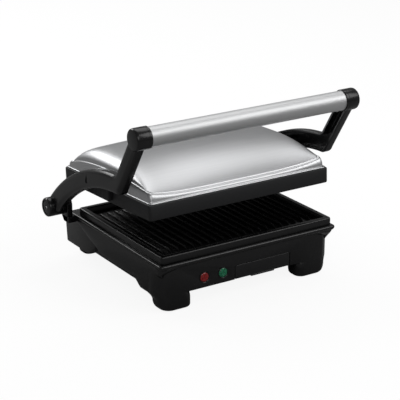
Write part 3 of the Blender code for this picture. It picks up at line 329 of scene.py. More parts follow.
def makeEdgeGroup():
    # lighter rubbed edges, from how sharply the surface bends, broken up by noise
    group, nodes, entry, leave = newTree("edgeWear", "ShaderNodeTree", {
        "Vector": "Vector", "Base Color": "Color", "Edge Color": "Color",
        "Threshold": "Float", "Amount": "Float"}, {"Color": "Color"})
    bend = addNode(nodes, "ShaderNodeNewGeometry").outputs["Pointiness"]
    steep = multiply(nodes, mathNode(nodes, "SUBTRACT", bend, entry["Threshold"]), 18.0)
    broken = noiseNode(nodes, entry["Vector"], 160.0, 4.0, 0.6)
    mask = multiply(nodes, multiply(nodes, steep, broken),
                    entry["Amount"])
    held = addNode(nodes, "ShaderNodeClamp", {"Value": mask}).outputs[0]
    setInputs(leave, {"Color": mixColours(nodes, held, entry["Base Color"],
                                          entry["Edge Color"])})
    return group


def makeBrushGroup():
    # long fine scratches along X, with a slower drift of tone between them
    group, nodes, entry, leave = newTree("brushedLines", "ShaderNodeTree", {
        "Vector": "Vector", "Line Density": "Float", "Line Stretch": "Float",
        "Base Roughness": "Float", "Roughness Spread": "Float"},
        {"Height": "Float", "Roughness": "Float", "Tone": "Float"})
    stretch = combine(nodes, X=entry["Line Stretch"], Y=1.0, Z=1.0)
    pulled = addNode(nodes, "ShaderNodeVectorMath", {0: entry["Vector"], 1: stretch},
                     operation="MULTIPLY").outputs[0]
    fine = noiseNode(nodes, pulled, entry["Line Density"], 2.0, 0.6)
    wide = noiseNode(nodes, pulled, 380.0, 3.0, 0.6)
    tone = mathNode(nodes, "ADD", multiply(nodes, fine, 0.6),
                    multiply(nodes, wide, 0.4))
    rough = mathNode(nodes, "ADD", entry["Base Roughness"], variedGloss(nodes, entry, tone))
    setInputs(leave, {"Height": tone, "Roughness": rough, "Tone": tone})
    return group


grainGroup = makeGrainGroup()
edgeGroup = makeEdgeGroup()
brushGroup = makeBrushGroup()


def startMaterial(name):
    material = bpy.data.materials.new(name)
    material.use_nodes = True
    nodes = material.node_tree.nodes
    place = nodes.new("ShaderNodeTexCoord").outputs["Object"]
    return material, nodes, nodes["Principled BSDF"], place


def addBump(nodes, shader, height, strength, distance):
    bump = addNode(nodes, "ShaderNodeBump", {"Strength": strength, "Distance": distance,
                                             "Height": height})
    setInputs(shader, {"Normal": bump.outputs[0]})


def mouldedMaterial(name, colour, edgeColour, rough, spread, grainScale, grainDepth,
                    wear=0.3, mottle=22.0, specular=0.5, metallic=0.0):
    material, nodes, shader, place = startMaterial(name)
    grain = addNode(nodes, "ShaderNodeGroup", {
        "Vector": place, "Grain Scale": grainScale, "Mottle Scale": mottle,
        "Base Roughness": rough, "Roughness Spread": spread}, node_tree=grainGroup)
    edge = addNode(nodes, "ShaderNodeGroup", {
        "Vector": place, "Base Color": (*colour, 1), "Edge Color": (*edgeColour, 1),
        "Threshold": 0.53, "Amount": wear}, node_tree=edgeGroup)
    setInputs(shader, {"Base Color": edge.outputs["Color"],
                       "Roughness": grain.outputs["Roughness"],
                       "Specular IOR Level": specular, "Metallic": metallic})
    addBump(nodes, shader, grain.outputs["Height"], 0.35, grainDepth)
    return material


def brushedMaterial(name, dark, light, rough, spread, density, stretch, depth):
    material, nodes, shader, place = startMaterial(name)
    lines = addNode(nodes, "ShaderNodeGroup", {
        "Vector": place, "Line Density": density, "Line Stretch": stretch,
        "Base Roughness": rough, "Roughness Spread": spread}, node_tree=brushGroup)
    setInputs(shader, {"Base Color": mixColours(nodes, lines.outputs["Tone"], (*dark, 1),
                                                (*light, 1)),
                       "Roughness": lines.outputs["Roughness"], "Metallic": 1.0})
    addBump(nodes, shader, lines.outputs["Height"], 0.3, depth)
    return material


def lensMaterial(name, deep, bright, glow):
    # translucent cap: cells of light and dark from the ribs inside it
    material, nodes, shader, place = startMaterial(name)
    cells = addNode(nodes, "ShaderNodeTexVoronoi", {
        "Vector": place, "Scale": 620.0}).outputs["Distance"]
    tone = mixColours(nodes, multiply(nodes, cells, 1.35), (*bright, 1),
                      (*deep, 1))
    grain = addNode(nodes, "ShaderNodeGroup", {
        "Vector": place, "Grain Scale": 900.0, "Mottle Scale": 22.0,
        "Base Roughness": 0.12, "Roughness Spread": 0.06}, node_tree=grainGroup)
    setInputs(shader, {"Base Color": tone, "Emission Color": tone, "Emission Strength": glow,
                       "Roughness": grain.outputs["Roughness"], "Coat Weight": 0.6,
                       "Coat Roughness": 0.06})
    addBump(nodes, shader, cells, 0.25, 0.0003)
    return material


# colour, edge colour, roughness and its spread, scale and depth of the grain
satinBlack = mouldedMaterial("satinBlack", (0.0040, 0.0040, 0.0044), (0.016, 0.016, 0.017),
                             0.24, 0.08, 1500.0, 0.00003)
bandBlack = mouldedMaterial("bandBlack", (0.0125, 0.0128, 0.0138), (0.03, 0.03, 0.032),
                            0.52, 0.12, 1300.0, 0.00010, specular=0.4)
rubberBlack = mouldedMaterial("rubberBlack", (0.012, 0.012, 0.012), (0.03, 0.03, 0.03),
                              0.82, 0.10, 900.0, 0.00010)
nonStick = mouldedMaterial("nonStick", (0.0030, 0.0030, 0.0034), (0.012, 0.012, 0.013),
                           0.30, 0.14, 700.0, 0.00006, wear=0.35, mottle=60.0)
sheathSteel = mouldedMaterial("sheathSteel", (0.11, 0.10, 0.095), (0.22, 0.20, 0.18), 0.48,
                              0.20, 600.0, 0.00006, wear=0.4, mottle=45.0, metallic=0.85)
boardGreen = mouldedMaterial("boardGreen", (0.012, 0.075, 0.025), (0.05, 0.16, 0.07),
                             0.42, 0.15, 500.0, 0.00004)
# dark and light tone, roughness and its spread, density, stretch and depth of the lines
coverSteel = brushedMaterial("coverSteel", (0.50, 0.505, 0.515), (0.68, 0.685, 0.695),
                             0.40, 0.14, 2400.0, 0.010, 0.000020)
tubeSteel = brushedMaterial("tubeSteel", (0.60, 0.605, 0.61), (0.76, 0.765, 0.77),
                            0.50, 0.14, 1900.0, 0.22, 0.000020)
brightSteel = brushedMaterial("brightSteel", (0.55, 0.55, 0.55), (0.75, 0.75, 0.75),
                              0.22, 0.10, 1800.0, 0.15, 0.000010)
sheetAlloy = brushedMaterial("sheetAlloy", (0.55, 0.56, 0.57), (0.72, 0.73, 0.74),
                             0.30, 0.18, 900.0, 0.05, 0.000020)
redLens = lensMaterial("redLens", (0.10, 0.001, 0.001), (0.40, 0.006, 0.006), 0.08)
greenLens = lensMaterial("greenLens", (0.000, 0.055, 0.025), (0.012, 0.30, 0.13), 0.10)
print("materials ready")


def runTree(piece, tree, values, sharpAngle=38):
    modifier = piece.modifiers.new(tree.name, "NODES")
    modifier.node_group = tree
    for item in tree.interface.items_tree:
        if item.item_type == "SOCKET" and item.in_out == "INPUT" and item.name in values:
            modifier[item.identifier] = values[item.name]
    settle(piece, sharpAngle)


def joinAll(nodes, *parts):
    joined = nodes.new("GeometryNodeJoinGeometry")
    for part in parts:
        nodes.id_data.links.new(part, joined.inputs[0])
    return joined.outputs[0]


def realCopies(nodes, **inputs):
    placed = addNode(nodes, "GeometryNodeInstanceOnPoints", inputs)
    return addNode(nodes, "GeometryNodeRealizeInstances",
                   {"Geometry": placed.outputs[0]}).outputs[0]


def paintAll(nodes, geometry, entry, leave):
    paint = addNode(nodes, "GeometryNodeSetMaterial", {"Geometry": geometry,
                                                       "Material": entry["Material"]})
    setInputs(leave, {"Geometry": paint.outputs[0]})


def makeRibTree():
    # rounded bars set side by side along X, tapering into the floor at both ends
    tree, nodes, entry, leave = newTree("grillRibs", "GeometryNodeTree", {
        "Geometry": "Geometry", "Count": "Int", "Pitch": "Float", "Length": "Float",
        "Width": "Float", "Height": "Float", "Taper": "Float", "Middle": "Vector",
        "Material": "Material"}, {"Geometry": "Geometry"})
    halfLength = multiply(nodes, entry["Length"], 0.5)
    spine = addNode(nodes, "GeometryNodeCurvePrimitiveLine", {
        "Start": combine(nodes, Y=multiply(nodes, halfLength, -1.0)),
        "End": combine(nodes, Y=halfLength)})
    spaced = addNode(nodes, "GeometryNodeResampleCurve", {"Curve": spine.outputs[0],
                                                          "Count": 40})
    along = addNode(nodes, "GeometryNodeSplineParameter").outputs["Factor"]
    fromEnd = mathNode(nodes, "MINIMUM", along, mathNode(nodes, "SUBTRACT", 1.0, along))
    rise = mathNode(nodes, "MINIMUM", 1.0,
                    multiply(nodes, fromEnd, entry["Taper"]))
    taper = mathNode(nodes, "POWER", mathNode(nodes, "MAXIMUM", rise, 0.02), 0.5)
    profile = addNode(nodes, "GeometryNodeCurvePrimitiveCircle", {"Resolution": 20,
                                                                  "Radius": 1.0})
    halfWidth = multiply(nodes, entry["Width"], 0.5)
    shaped = addNode(nodes, "GeometryNodeTransform", {
        "Geometry": profile.outputs["Curve"],
        "Scale": combine(nodes, X=halfWidth, Y=entry["Height"], Z=1.0)})
    bar = addNode(nodes, "GeometryNodeCurveToMesh", {
        "Curve": spaced.outputs[0], "Profile Curve": shaped.outputs[0], "Scale": taper,
        "Fill Caps": True})
    reach = multiply(nodes, entry["Pitch"],
                     mathNode(nodes, "SUBTRACT", entry["Count"], 1.0))
    start = addNode(nodes, "ShaderNodeVectorMath", {
        0: entry["Middle"], 1: combine(nodes, X=multiply(nodes, reach, -0.5))},
        operation="ADD")
    row = addNode(nodes, "GeometryNodeMeshLine", {
        "Count": entry["Count"], "Offset": combine(nodes, X=entry["Pitch"]),
        "Start Location": start.outputs[0]})
    ribs = realCopies(nodes, Points=row.outputs[0], Instance=bar.outputs[0])
    paintAll(nodes, joinAll(nodes, entry["Geometry"], ribs), entry, leave)
    return tree


def makeScrewTree():
    # pan head with a cross recess on every point of the mesh it is given
    tree, nodes, entry, leave = newTree("crossScrews", "GeometryNodeTree", {
        "Geometry": "Geometry", "Head Radius": "Float", "Head Height": "Float",
        "Shank Radius": "Float", "Shank Length": "Float", "Turn": "Vector",
        "Material": "Material"}, {"Geometry": "Geometry"})

    def scaled(label, factor):
        return multiply(nodes, entry[label], factor)

    def cone(corners, bottom, top, depth):
        return addNode(nodes, "GeometryNodeMeshCone", {
            "Vertices": corners, "Radius Bottom": bottom, "Radius Top": top,
            "Depth": depth}).outputs["Mesh"]

    def lifted(geometry, height):
        return addNode(nodes, "GeometryNodeTransform", {
            "Geometry": geometry, "Translation": combine(nodes, Z=height)}).outputs[0]

    head = cone(32, entry["Head Radius"], scaled("Head Radius", 0.72), entry["Head Height"])
    recess = addNode(nodes, "GeometryNodeMeshBoolean", {"Mesh 1": head},
                     operation="DIFFERENCE")
    long, thin = scaled("Head Radius", 1.10), scaled("Head Radius", 0.26)
    for wide, deep in ((thin, long), (long, thin)):
        slot = addNode(nodes, "GeometryNodeMeshCube", {
            "Size": combine(nodes, X=wide, Y=deep, Z=entry["Head Height"])})
        setInputs(recess, {"Mesh 2": lifted(slot.outputs[0], scaled("Head Height", 0.95))})
    shank = cone(20, entry["Shank Radius"], entry["Shank Radius"], entry["Shank Length"])
    whole = joinAll(nodes, recess.outputs[0], lifted(shank, scaled("Shank Length", -1.0)))
    turn = addNode(nodes, "FunctionNodeEulerToRotation", {"Euler": entry["Turn"]})
    screws = realCopies(nodes, Points=entry["Geometry"], Instance=whole,
                        Rotation=turn.outputs[0])
    paintAll(nodes, screws, entry, leave)
    return tree


ribTree = makeRibTree()
screwTree = makeScrewTree()


def screwSet(name, places, body, sizes, turn, replaced=()):
    mesh = bpy.data.meshes.new(name)
    mesh.from_pydata([drawnToFrame @ Vector(p) for p in places], [], [])
    piece = bpy.data.objects.new(name, mesh)
    bpy.context.scene.collection.objects.link(piece)
    runTree(piece, screwTree, {**sizes, "Turn": turn, "Material": brightSteel}, 30)
    finishPiece(piece, body, brightSteel, replaced)


plateSizes = {
    "halfX": 143.0, "halfY": 117.0, "corner": 4.5, "ribCount": 21, "ribPitch": 0.0124,
    "ribWidth": 0.0036, "ribHeight": 0.0052, "ribTaper": 26.0, "gutter": 17.0,
    "rimWall": 9.0, "floorDrop": 8.5, "middleInLid": 3.5, "faceInLid": -33.2,
    # from the middle of the underside round the rim to the middle of the floor
    "section": [(60, -11.5), (21, -11.5), (20, -12.3), (20, -19.3), (16.4, -19.3),
                (16, -18.9), (16, -11.0), (0.8, -11.0), (0.2, -10.7), (0, -10.0),
                (0, -2.0), (0.35, -0.8), (0.9, -0.25), (1.9, 0), (6.9, 0), (7.9, -0.2),
                (8.6, -0.8), (9.0, -1.8), (9.25, -6.4), (9.7, -7.7), (10.6, -8.3),
                (12.2, -8.5), (60, -8.5)]}
drainSizes = {"x": 25.7, "y": 20.5, "bore": 3.4, "lip": 4.6, "top": 77.2, "end": 46.8,
              "shoulder": 5.5, "spout": 5.0}


def grillPlate(name, s, place, flip):
    bm = bmesh.new()
    loft(bm, shrunkRings(s["section"], s["halfX"], s["halfY"], s["corner"], 2.4, 7,
                         sideSteps=3))
    if flip:
        for vert in bm.verts:
            vert.co.y, vert.co.z = -vert.co.y, -vert.co.z
    return pieceFrom(name, bm, place)


def buildPlates(s, drain):
    ribs = {"Count": s["ribCount"], "Pitch": s["ribPitch"], "Width": s["ribWidth"],
            "Length": 0.002 * (s["halfY"] - s["rimWall"] - s["gutter"]),
            "Height": s["ribHeight"], "Taper": s["ribTaper"], "Material": nonStick}
    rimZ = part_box("lower_grill_plate")[1].z * 1000
    place = drawnToFrame @ Matrix.Translation((0, s["halfY"], rimZ))
    lower = grillPlate("grillPlateLower", s, place, False)
    at, top, end = (drain["x"], drain["y"], 0), drain["top"], drain["end"]
    drill = bmesh.new()
    turned(drill, [(end, 0), (end, drain["bore"]), (top + 4, drain["bore"]), (top + 4, 0)],
           at, "Z", 32)
    cutAway(lower, [pieceFrom("drainDrill", drill)])
    runTree(lower, ribTree, {**ribs, "Middle": place @ Vector((0, 0, -s["floorDrop"]))})
    finishPiece(lower, "base", nonStick, ["lower_grill_plate"])
    top -= 0.4
    spout = bmesh.new()
    loopLoft(spout, [[(at[0] + r * math.cos(2 * math.pi * i / 32),
                       at[1] + r * math.sin(2 * math.pi * i / 32), z) for i in range(32)]
                     for r, z in ((drain["bore"], top), (drain["lip"], top),
                                  (drain["shoulder"], top - 3), (drain["spout"], end + 0.5),
                                  (drain["lip"], end), (drain["bore"], end))])
    finishPiece(pieceFrom("drainSpout", spout), "base", nonStick, ())
    place = lidToFrame @ Matrix.Translation((0, s["middleInLid"], s["faceInLid"]))
    bars = bpy.data.objects.new("upperRibs", bpy.data.meshes.new("upperRibs"))
    bpy.context.scene.collection.objects.link(bars)
    runTree(bars, ribTree, ribs)
    bars.data.transform(place @ Matrix.Translation((0, 0, s["floorDrop"]))
                        @ Matrix.Scale(1000, 4))
    bm = bmesh.new()
    takeAway(grillPlate("plate", s, place, True), bm)
    takeAway(bars, bm)
    finishPiece(pieceFrom("grillPlateUpper", bm, Matrix.Identity(4)), "lid", nonStick,
                ["upper_grill_plate"])


buildPlates(plateSizes, drainSizes)
print("grill plates ready")

baseSizes = {"ledgeHalf": 148.0, "ledgeFront": -5.0, "rear": 258.0, "deckTop": 74.0,
             "bodyHalf": 137.0, "bodyFront": 4.0, "bodyLow": 24.6, "wall": 3.0,
             "ledgeCorner": 6.0, "bodyCorner": 8.0, "windowHalf": 128.6,
             "windowFront": 12.4, "windowRear": 219.6, "openingStart": -21.8,
             "openingEnd": 73.2, "openingTop": 46.2, "lightX": (-72.2, -41.4),
             "lightZ": 40.2, "lightBore": 7.3, "cordX": 60.0, "cordZ": 45.0,
             "cordBore": 6.8, "hingeY": 251.0, "hingeZ": 89.0,
             # bezel round each light, as (radius, depth)
             "bezel": ((7.25, 6.5), (8.6, 6.5), (8.5, 3.7), (8.2, 3.35), (7.7, 3.3),
                       (7.3, 3.6))}


def buildLedge(s):
    # deck slab with a rolled nose all round
    top = s["deckTop"]
    section = [(14, top - 8.0), (5.6, top - 7.8), (3.6, top - 7.2), (1.6, top - 5.8),
               (0.4, top - 4.1), (0, top - 2.8), (0.3, top - 1.4), (1.0, top - 0.5),
               (2.0, top)]
    bm = bmesh.new()
    loft(bm, shrunkRings(section, s["ledgeHalf"], (s["rear"] - s["ledgeFront"]) / 2,
                         s["ledgeCorner"], 2.0, 9, (0, (s["ledgeFront"] + s["rear"]) / 2)))
    slab = pieceFrom("slab", bm)
    window = bmesh.new()
    softBox(window, (-s["windowHalf"], s["windowFront"], top - 20),
            (s["windowHalf"], s["windowRear"], top + 10), 10)
    return cutAway(slab, [pieceFrom("window", window)], 30)


def buildWalls(s):
    # body walls as one closed frame, with the tray opening and the bores cut through
    low, top, wall = s["bodyLow"], s["deckTop"] - 5, s["wall"]
    section = [(0, top), (0, low + 1.2), (0.35, low + 0.4), (1.2, low), (wall - 0.6, low),
               (wall, low + 0.6), (wall, top)]
    bm = bmesh.new()
    loopLoft(bm, shrunkRings(section, s["bodyHalf"], (s["rear"] - s["bodyFront"]) / 2,
                             s["bodyCorner"], 0.1, 9, (0, (s["bodyFront"] + s["rear"]) / 2)))
    walls = pieceFrom("walls", bm)
    opening = bmesh.new()
    softBox(opening, (s["openingStart"], -10, 10), (s["openingEnd"], 12, s["openingTop"]), 0.1)
    cutters = [pieceFrom("opening", opening)]
    bores = [(x, s["lightZ"], s["lightBore"], -8, 12) for x in s["lightX"]]
    for x, z, radius, near, far in bores + [(s["cordX"], s["cordZ"], s["cordBore"], 240, 270)]:
        hole = bmesh.new()
        turned(hole, [(near, 0), (near, radius), (far, radius), (far, 0)], (x, 0, z), "Y", 40)
        cutters.append(pieceFrom("hole", hole))
    return cutAway(walls, cutters, 30, 0.00045)


skirtSizes = {
    "outer": 148.0, "front": -4.6, "corner": 12.5, "top": 69.6,
    # lower edge of the skirt: height by depth along the side, then by width on the front
    "sideEdge": [(10, 51.0), (23, 45.8), (44, 38.6), (65, 34.8), (110, 33.6), (160, 34.0),
                 (178, 37.6), (198, 45.2), (213, 52.0), (227, 58.8), (238, 63.4),
                 (247, 68.0)],
    "cornerEdge": [(0, 51.0), (45, 54.0), (90, 56.6)],
    "frontEdge": [(-134, 56.6), (-127, 59.6), (-121, 63.4), (-115, 66.8), (-108, 69.0)],
    # wall section as (inset, share of the height), along the side and at the front corner
    "sideWall": [(12.0, 0.0), (1.6, 0.0), (0.7, 0.10), (0.3, 0.24), (0.2, 0.42), (0.6, 0.62),
                 (1.5, 0.80), (2.6, 0.92), (3.8, 0.98), (5.4, 1.0), (7.6, 0.995),
                 (12.0, 0.97)],
    "cornerWall": [(12.0, 0.0), (1.6, 0.0), (0.8, 0.08), (0.8, 0.18), (1.8, 0.34),
                   (4.0, 0.52), (6.6, 0.70), (8.8, 0.84), (10.2, 0.92), (11.2, 0.97),
                   (11.8, 0.99), (12.0, 0.97)]}


def buildSkirt(bm, sizes, side):
    # a bulging apron that follows the ledge along the side and curls round the front corner
    radius, top = sizes["corner"], sizes["top"]
    centre = (-sizes["outer"] + radius, sizes["front"] + radius)
    stations = []
    depth = 247.0
    while depth > centre[1]:
        tuck = max(0.0, 1 - (depth - centre[1]) / 50.0) ** 1.5
        stations.append((-sizes["outer"], depth, -1.0, 0.0,
                         smoothAt(sizes["sideEdge"], depth), tuck * 0.8))
        depth -= 4.0
    for step in range(11):
        angle = 9.0 * step
        turn = math.radians(180 + angle)
        stations.append((centre[0] + radius * math.cos(turn),
                         centre[1] + radius * math.sin(turn), math.cos(turn),
                         math.sin(turn), smoothAt(sizes["cornerEdge"], angle),
                         0.8 + 0.2 * angle / 90))
    width = centre[0] + 2.0
    while width < -108:
        stations.append((width, sizes["front"], 0.0, -1.0,
                         smoothAt(sizes["frontEdge"], width), 1.0))
        width += 2.0
    rings = []
    for x, y, outX, outY, low, tuck in stations:
        height = max(top - low, 0.3)
        full = min(1.0, height / 12.0)
        ring = []
        for (plain, share), (tucked, tuckedShare) in zip(sizes["sideWall"],
                                                         sizes["cornerWall"]):
            inset = plain + (tucked - plain) * tuck
            fall = share + (tuckedShare - share) * tuck
            inward = inset if inset > 11.9 else inset * full + 0.8 * (1 - full)
            ring.append(((x - outX * inward) * -side, y - outY * inward,
                         top - height * fall))
        rings.append(ring)
    loft(bm, rings)


legSizes = {"outer": 146.3, "inner": 89.0, "front": 4.3, "back": 52.0, "corner": 21.0,
            "legOuter": 141.0, "legBack": 40.0, "legCorner": 13.0, "toe": 3.4, "taper": 0.5,
            "toeHigh": 13.0, "toeOuter": 8.5, "toeBack": 5.0, "low": 0.8, "shelf": 24.6,
            "high": 60.0, "heelX": 112.0, "heelY": 261.0, "heelHalfX": 14.0, "heelHalfY": 15.0,
            "heelCorner": 11.0, "heelToe": 4.0, "heelHigh": 40.0, "heelRoof": 3.0,
            "cheekInner": 134.0, "cheekLow": 23.0}
towerSizes = {"inner": 150.7, "outer": 159.5, "rootInner": 142.5, "low": 63.0,
              "radius": 13.5, "rim": 10.5}


def buildFrontLeg(bm, s, side):
    # a broad rounded corner post that steps in to a narrower leg under the body
    def plan(blend, inset, toe):
        outer = s["outer"] + (s["legOuter"] - s["outer"]) * blend - inset
        back = s["back"] + (s["legBack"] - s["back"]) * blend - inset
        outer, back = outer - s["toeOuter"] * toe, back - s["toeBack"] * toe
        radius = s["corner"] + (s["legCorner"] - s["corner"]) * blend - inset
        low, front = s["inner"] + inset, s["front"] + inset
        halfX, halfY = (outer - low) / 2, (back - front) / 2
        return [(side * (x + (outer + low) / 2), y + (front + back) / 2) for x, y in
                roundedRect(halfX, halfY, min(radius, halfY - 0.5), 12)]

    rings = []
    for i in range(13):
        turn = math.radians(90 * i / 12)
        rise = s["toeHigh"] * (1 - math.cos(turn))
        inner = max(0.0, 1 - rise / s["toe"])
        rings.append((1.0, s["toe"] * (1 - math.sqrt(1 - inner * inner)) + s["taper"],
                      s["low"] + rise, 1 - math.sin(turn)))
    for blend, below in ((0.97, 9.5), (0.86, 7.2), (0.62, 4.6), (0.34, 2.2), (0.12, 0.7),
                         (0.0, -0.6)):
        rings.append((blend, s["taper"] * blend, s["shelf"] - below, 0.0))
    rings.append((0.0, 0.0, s["high"], 0.0))
    rings.append((0.0, 3.0, s["high"] + 2.5, 0.0))
    loft(bm, [[(x, y, z) for x, y in plan(blend, inset, toe)]
              for blend, inset, z, toe in rings])


def buildHeel(bm, s, side):
    section = [(inset + s["taper"], s["low"] + rise)
               for inset, rise in quarterRound(s["heelToe"], 6)]
    section += [(inset, s["heelHigh"] - rise)
                for inset, rise in reversed(quarterRound(s["heelRoof"], 4))]
    loft(bm, shrunkRings(section, s["heelHalfX"], s["heelHalfY"], s["heelCorner"], 1.0, 8,
                         (side * s["heelX"], s["heelY"])))


def buildSideMouldings(bm, legs, tower, hinge, side):
    low, shelf = legs["cheekLow"], legs["shelf"]
    frontCheek = [(30, 60), (30, shelf), (53, shelf), (59, shelf + 3.5), (66, shelf + 8.5),
                  (74, shelf + 11.5), (74, 60)]
    rearCheek = [(170, 60), (180, low + 14.5), (190, low + 8), (197, low + 2.4),
                 (203, low), (267.5, low), (271.5, 64), (266, 69), (190, 69)]
    for cheek, soften, steps in ((frontCheek, 0.8, 3), (rearCheek, 2.4, 4)):
        sidePrism(bm, cheek, side * legs["cheekInner"], side * legs["outer"], soften, steps)
    foot, outer = tower["low"], tower["outer"]
    root = [(235.5, foot), (250, foot), (255, foot + 10), (235.5, foot + 10)]
    sidePrism(bm, root, side * tower["rootInner"], side * outer, 1.0)
    lug = [(237.5, foot), (250, foot), (261.5, foot + 13)]
    lug += arcPoints(hinge, tower["radius"], -20, 180, 30)
    sidePrism(bm, lug, side * tower["inner"], side * outer, 1.2)
    # rim of the bore for the axle
    rim = [(outer - 2.5, 0), (outer - 2.5, tower["rim"]), (outer + 0.2, tower["rim"]),
           (outer + 0.4, tower["rim"] - 0.5), (outer + 0.4, 0)]
    turned(bm, [(side * x, r) for x, r in rim], (0, *hinge), "X", 40)


def buildHousing(s):
    bm = bmesh.new()
    for part in (buildLedge(s), buildWalls(s)):
        takeAway(part, bm)
    bmesh.ops.transform(bm, matrix=drawnToFrame.inverted(), verts=bm.verts)
    for side in (-1, 1):
        buildSkirt(bm, skirtSizes, side)
        buildSideMouldings(bm, legSizes, towerSizes, (s["hingeY"], s["hingeZ"]), side)
        buildFrontLeg(bm, legSizes, side)
        buildHeel(bm, legSizes, side)
    for x in s["lightX"]:
        loopLoft(bm, [[(x + r * math.sin(2 * math.pi * i / 40), y,
                        s["lightZ"] + r * math.cos(2 * math.pi * i / 40))
                       for i in range(40)] for r, y in s["bezel"]])
    return pieceFrom("baseHousing", bm, sharpAngle=32)


finishPiece(buildHousing(baseSizes), "base", satinBlack, ["base_housing"])
print("housing ready")

footSizes = {"radius": 9.0, "foot": 8.4, "height": 4.4}


def buildFeet(sizes):
    for name in ("front_left", "front_right", "rear_left", "rear_right"):
        low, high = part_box("foot_" + name)
        x, y = (low.x + high.x) * 500, ((low.y + high.y) / 2 - plateFront) * 1000
        bm = bmesh.new()
        r, f, h = sizes["radius"], sizes["foot"], sizes["height"]
        turned(bm, [(0, 0), (0, f - 5.6), (0.5, f - 5.2), (0.5, f - 4.2), (0, f - 3.8),
                    (0, f - 0.7), (0.25, f - 0.2), (0.8, f), (h - 0.4, r), (h, r - 0.3),
                    (h, 0)], (x, y, 0), "Z", 48)
        word = name.title().replace("_", "")
        finishPiece(pieceFrom("foot" + word, bm), "base", rubberBlack, ["foot_" + name])


buildFeet(footSizes)

lensSizes = {"radius": 6.9, "front": 2.6, "stem": 11.0}


def buildLight(s, name, x, material, node):
    front, radius = s["front"], s["radius"]
    bm = bmesh.new()
    turned(bm, [(front, 0), (front + 0.05, 1.6), (front + 0.35, 1.8), (front + 0.15, 2.2),
                (front + 0.22, 3.9), (front + 0.55, 4.1), (front + 0.35, 4.5),
                (front + 0.75, 6.0), (front + 1.3, radius - 0.2), (front + 2.0, radius),
                (s["stem"], radius), (s["stem"], 0)], (x, 0, baseSizes["lightZ"]), "Y", 48)
    finishPiece(pieceFrom(name, bm, sharpAngle=25), "base", material, [node])


powerX, readyX = baseSizes["lightX"]
buildLight(lensSizes, "powerLight", powerX, redLens, "power_light_lens")
buildLight(lensSizes, "readyLight", readyX, greenLens, "ready_light_lens")

glandSizes = {"start": 251.0, "collar": 8.5, "ribs": 4, "ribStart": 261.0, "ribPitch": 2.6,
              "ribRadius": 7.0, "ribTaper": 0.42, "end": 272.0, "bore": 3.6, "floor": 258.5}


def buildGland(s):
    collar, end, bore = s["collar"], s["end"], s["bore"]
    profile = [(s["start"], 0), (s["start"], 6.4), (258.3, 6.4), (258.3, collar - 0.2),
               (258.6, collar), (260.6, collar), (s["ribStart"], collar - 0.3)]
    for k in range(s["ribs"]):
        at, radius = s["ribStart"] + s["ribPitch"] * k, s["ribRadius"] - s["ribTaper"] * k
        profile += [(at + 0.1, radius - 0.9), (at + 1.0, radius - 0.9), (at + 1.2, radius),
                    (at + 2.3, radius - 0.15), (at + 2.5, radius - 0.9)]
    profile += [(end - 0.1, 4.9), (end, 4.6), (end, bore + 0.1), (end - 0.5, bore),
                (s["floor"], bore), (s["floor"], 0)]
    bm = bmesh.new()
    turned(bm, profile, (baseSizes["cordX"], 0, baseSizes["cordZ"]), "Y", 40)
    finishPiece(pieceFrom("cordGland", bm, sharpAngle=30), "base", rubberBlack,
                ["power_inlet_gland"])


buildGland(glandSizes)

traySizes = {"x": 25.7, "half": 44.0, "faceHalf": 46.5, "low": 28.2, "top": 44.0,
             "front": 4.0, "back": 134.0, "faceLow": 24.0, "faceTop": 45.7, "floor": 2.0,
             "corner": 5.0, "facePlate": 3.0, "lipHalf": 20.0, "lipProud": 0.6,
             "lipHigh": 2.4}


def buildTray(s):
    bm = bmesh.new()
    low, top, floor, x, front = s["low"], s["top"], s["low"] + s["floor"], s["x"], s["front"]
    midY, halfY = (front + 1 + s["back"]) / 2, (s["back"] - front - 1) / 2
    section = [(40, low), (1.6, low), (0.5, low + 0.4), (0, low + 1.5), (0, top - 0.5),
               (0.3, top), (1.7, top), (2.0, top - 0.5), (2.2, floor + 2.5),
               (3.2, floor + 0.6), (5.5, floor), (40, floor)]
    loft(bm, shrunkRings(section, s["half"], halfY, s["corner"], 0.6, 6, (x, midY)))
    # face plate, and a pull lip under it
    softBox(bm, (x - s["faceHalf"], front, s["faceLow"] + 1.4),
            (x + s["faceHalf"], front + s["facePlate"], s["faceTop"]), 0.6, 0.6, 3)
    softBox(bm, (x - s["lipHalf"], front - s["lipProud"], s["faceLow"]),
            (x + s["lipHalf"], front + 2.6, s["faceLow"] + s["lipHigh"]), 0.8, 0.7, 4)
    return pieceFrom("dripTray", bm, sharpAngle=34)


finishPiece(buildTray(traySizes), "tray", satinBlack, ["drip_tray"])
print("feet, lights, gland and tray ready")

armSizes = {"hingeY": 251.0, "hingeZ": 89.0, "crownY": 51.3, "crownZ": 178.0,
            "elbowY": 56.0, "barY": 7.5, "barZ": 255.7, "band": 13.4, "post": 10.8,
            "barrel": 13.9, "socket": 15.1, "inside": 165.3, "outside": 180.5,
            "round": 6.6, "flange": 3.2, "web": 3.5, "pivotY": 138.0, "pivotZ": 160.0,
            "innerRound": 0.8, "fillet": 7.0,
            # barrel, handle socket and pivot boss, as (x, radius)
            "barrelShape": [(160.2, 0), (160.2, 13.3), (160.6, 14.0), (161.4, 14.3),
                            (184.6, 14.3), (186.4, 13.8), (187.4, 12.9), (187.7, 11.6),
                            (187.7, 10.5), (184.6, 10.5), (184.6, 0)],
            "socketShape": [(158.6, 0), (158.6, 14.1), (158.6, 15.0), (159.1, 15.5),
                            (162.2, 15.5), (162.5, 15.2), (163.1, 15.2), (163.4, 15.5),
                            (178.2, 15.5), (180.2, 15.0), (181.4, 13.9), (181.8, 12.0),
                            (181.8, 0)],
            "bossShape": [(160.0, 0), (160.0, 7.5), (160.5, 8.0), (176.5, 8.0),
                          (176.5, 0)]}


def angleOf(way):
    return math.degrees(math.atan2(way.y, way.x))


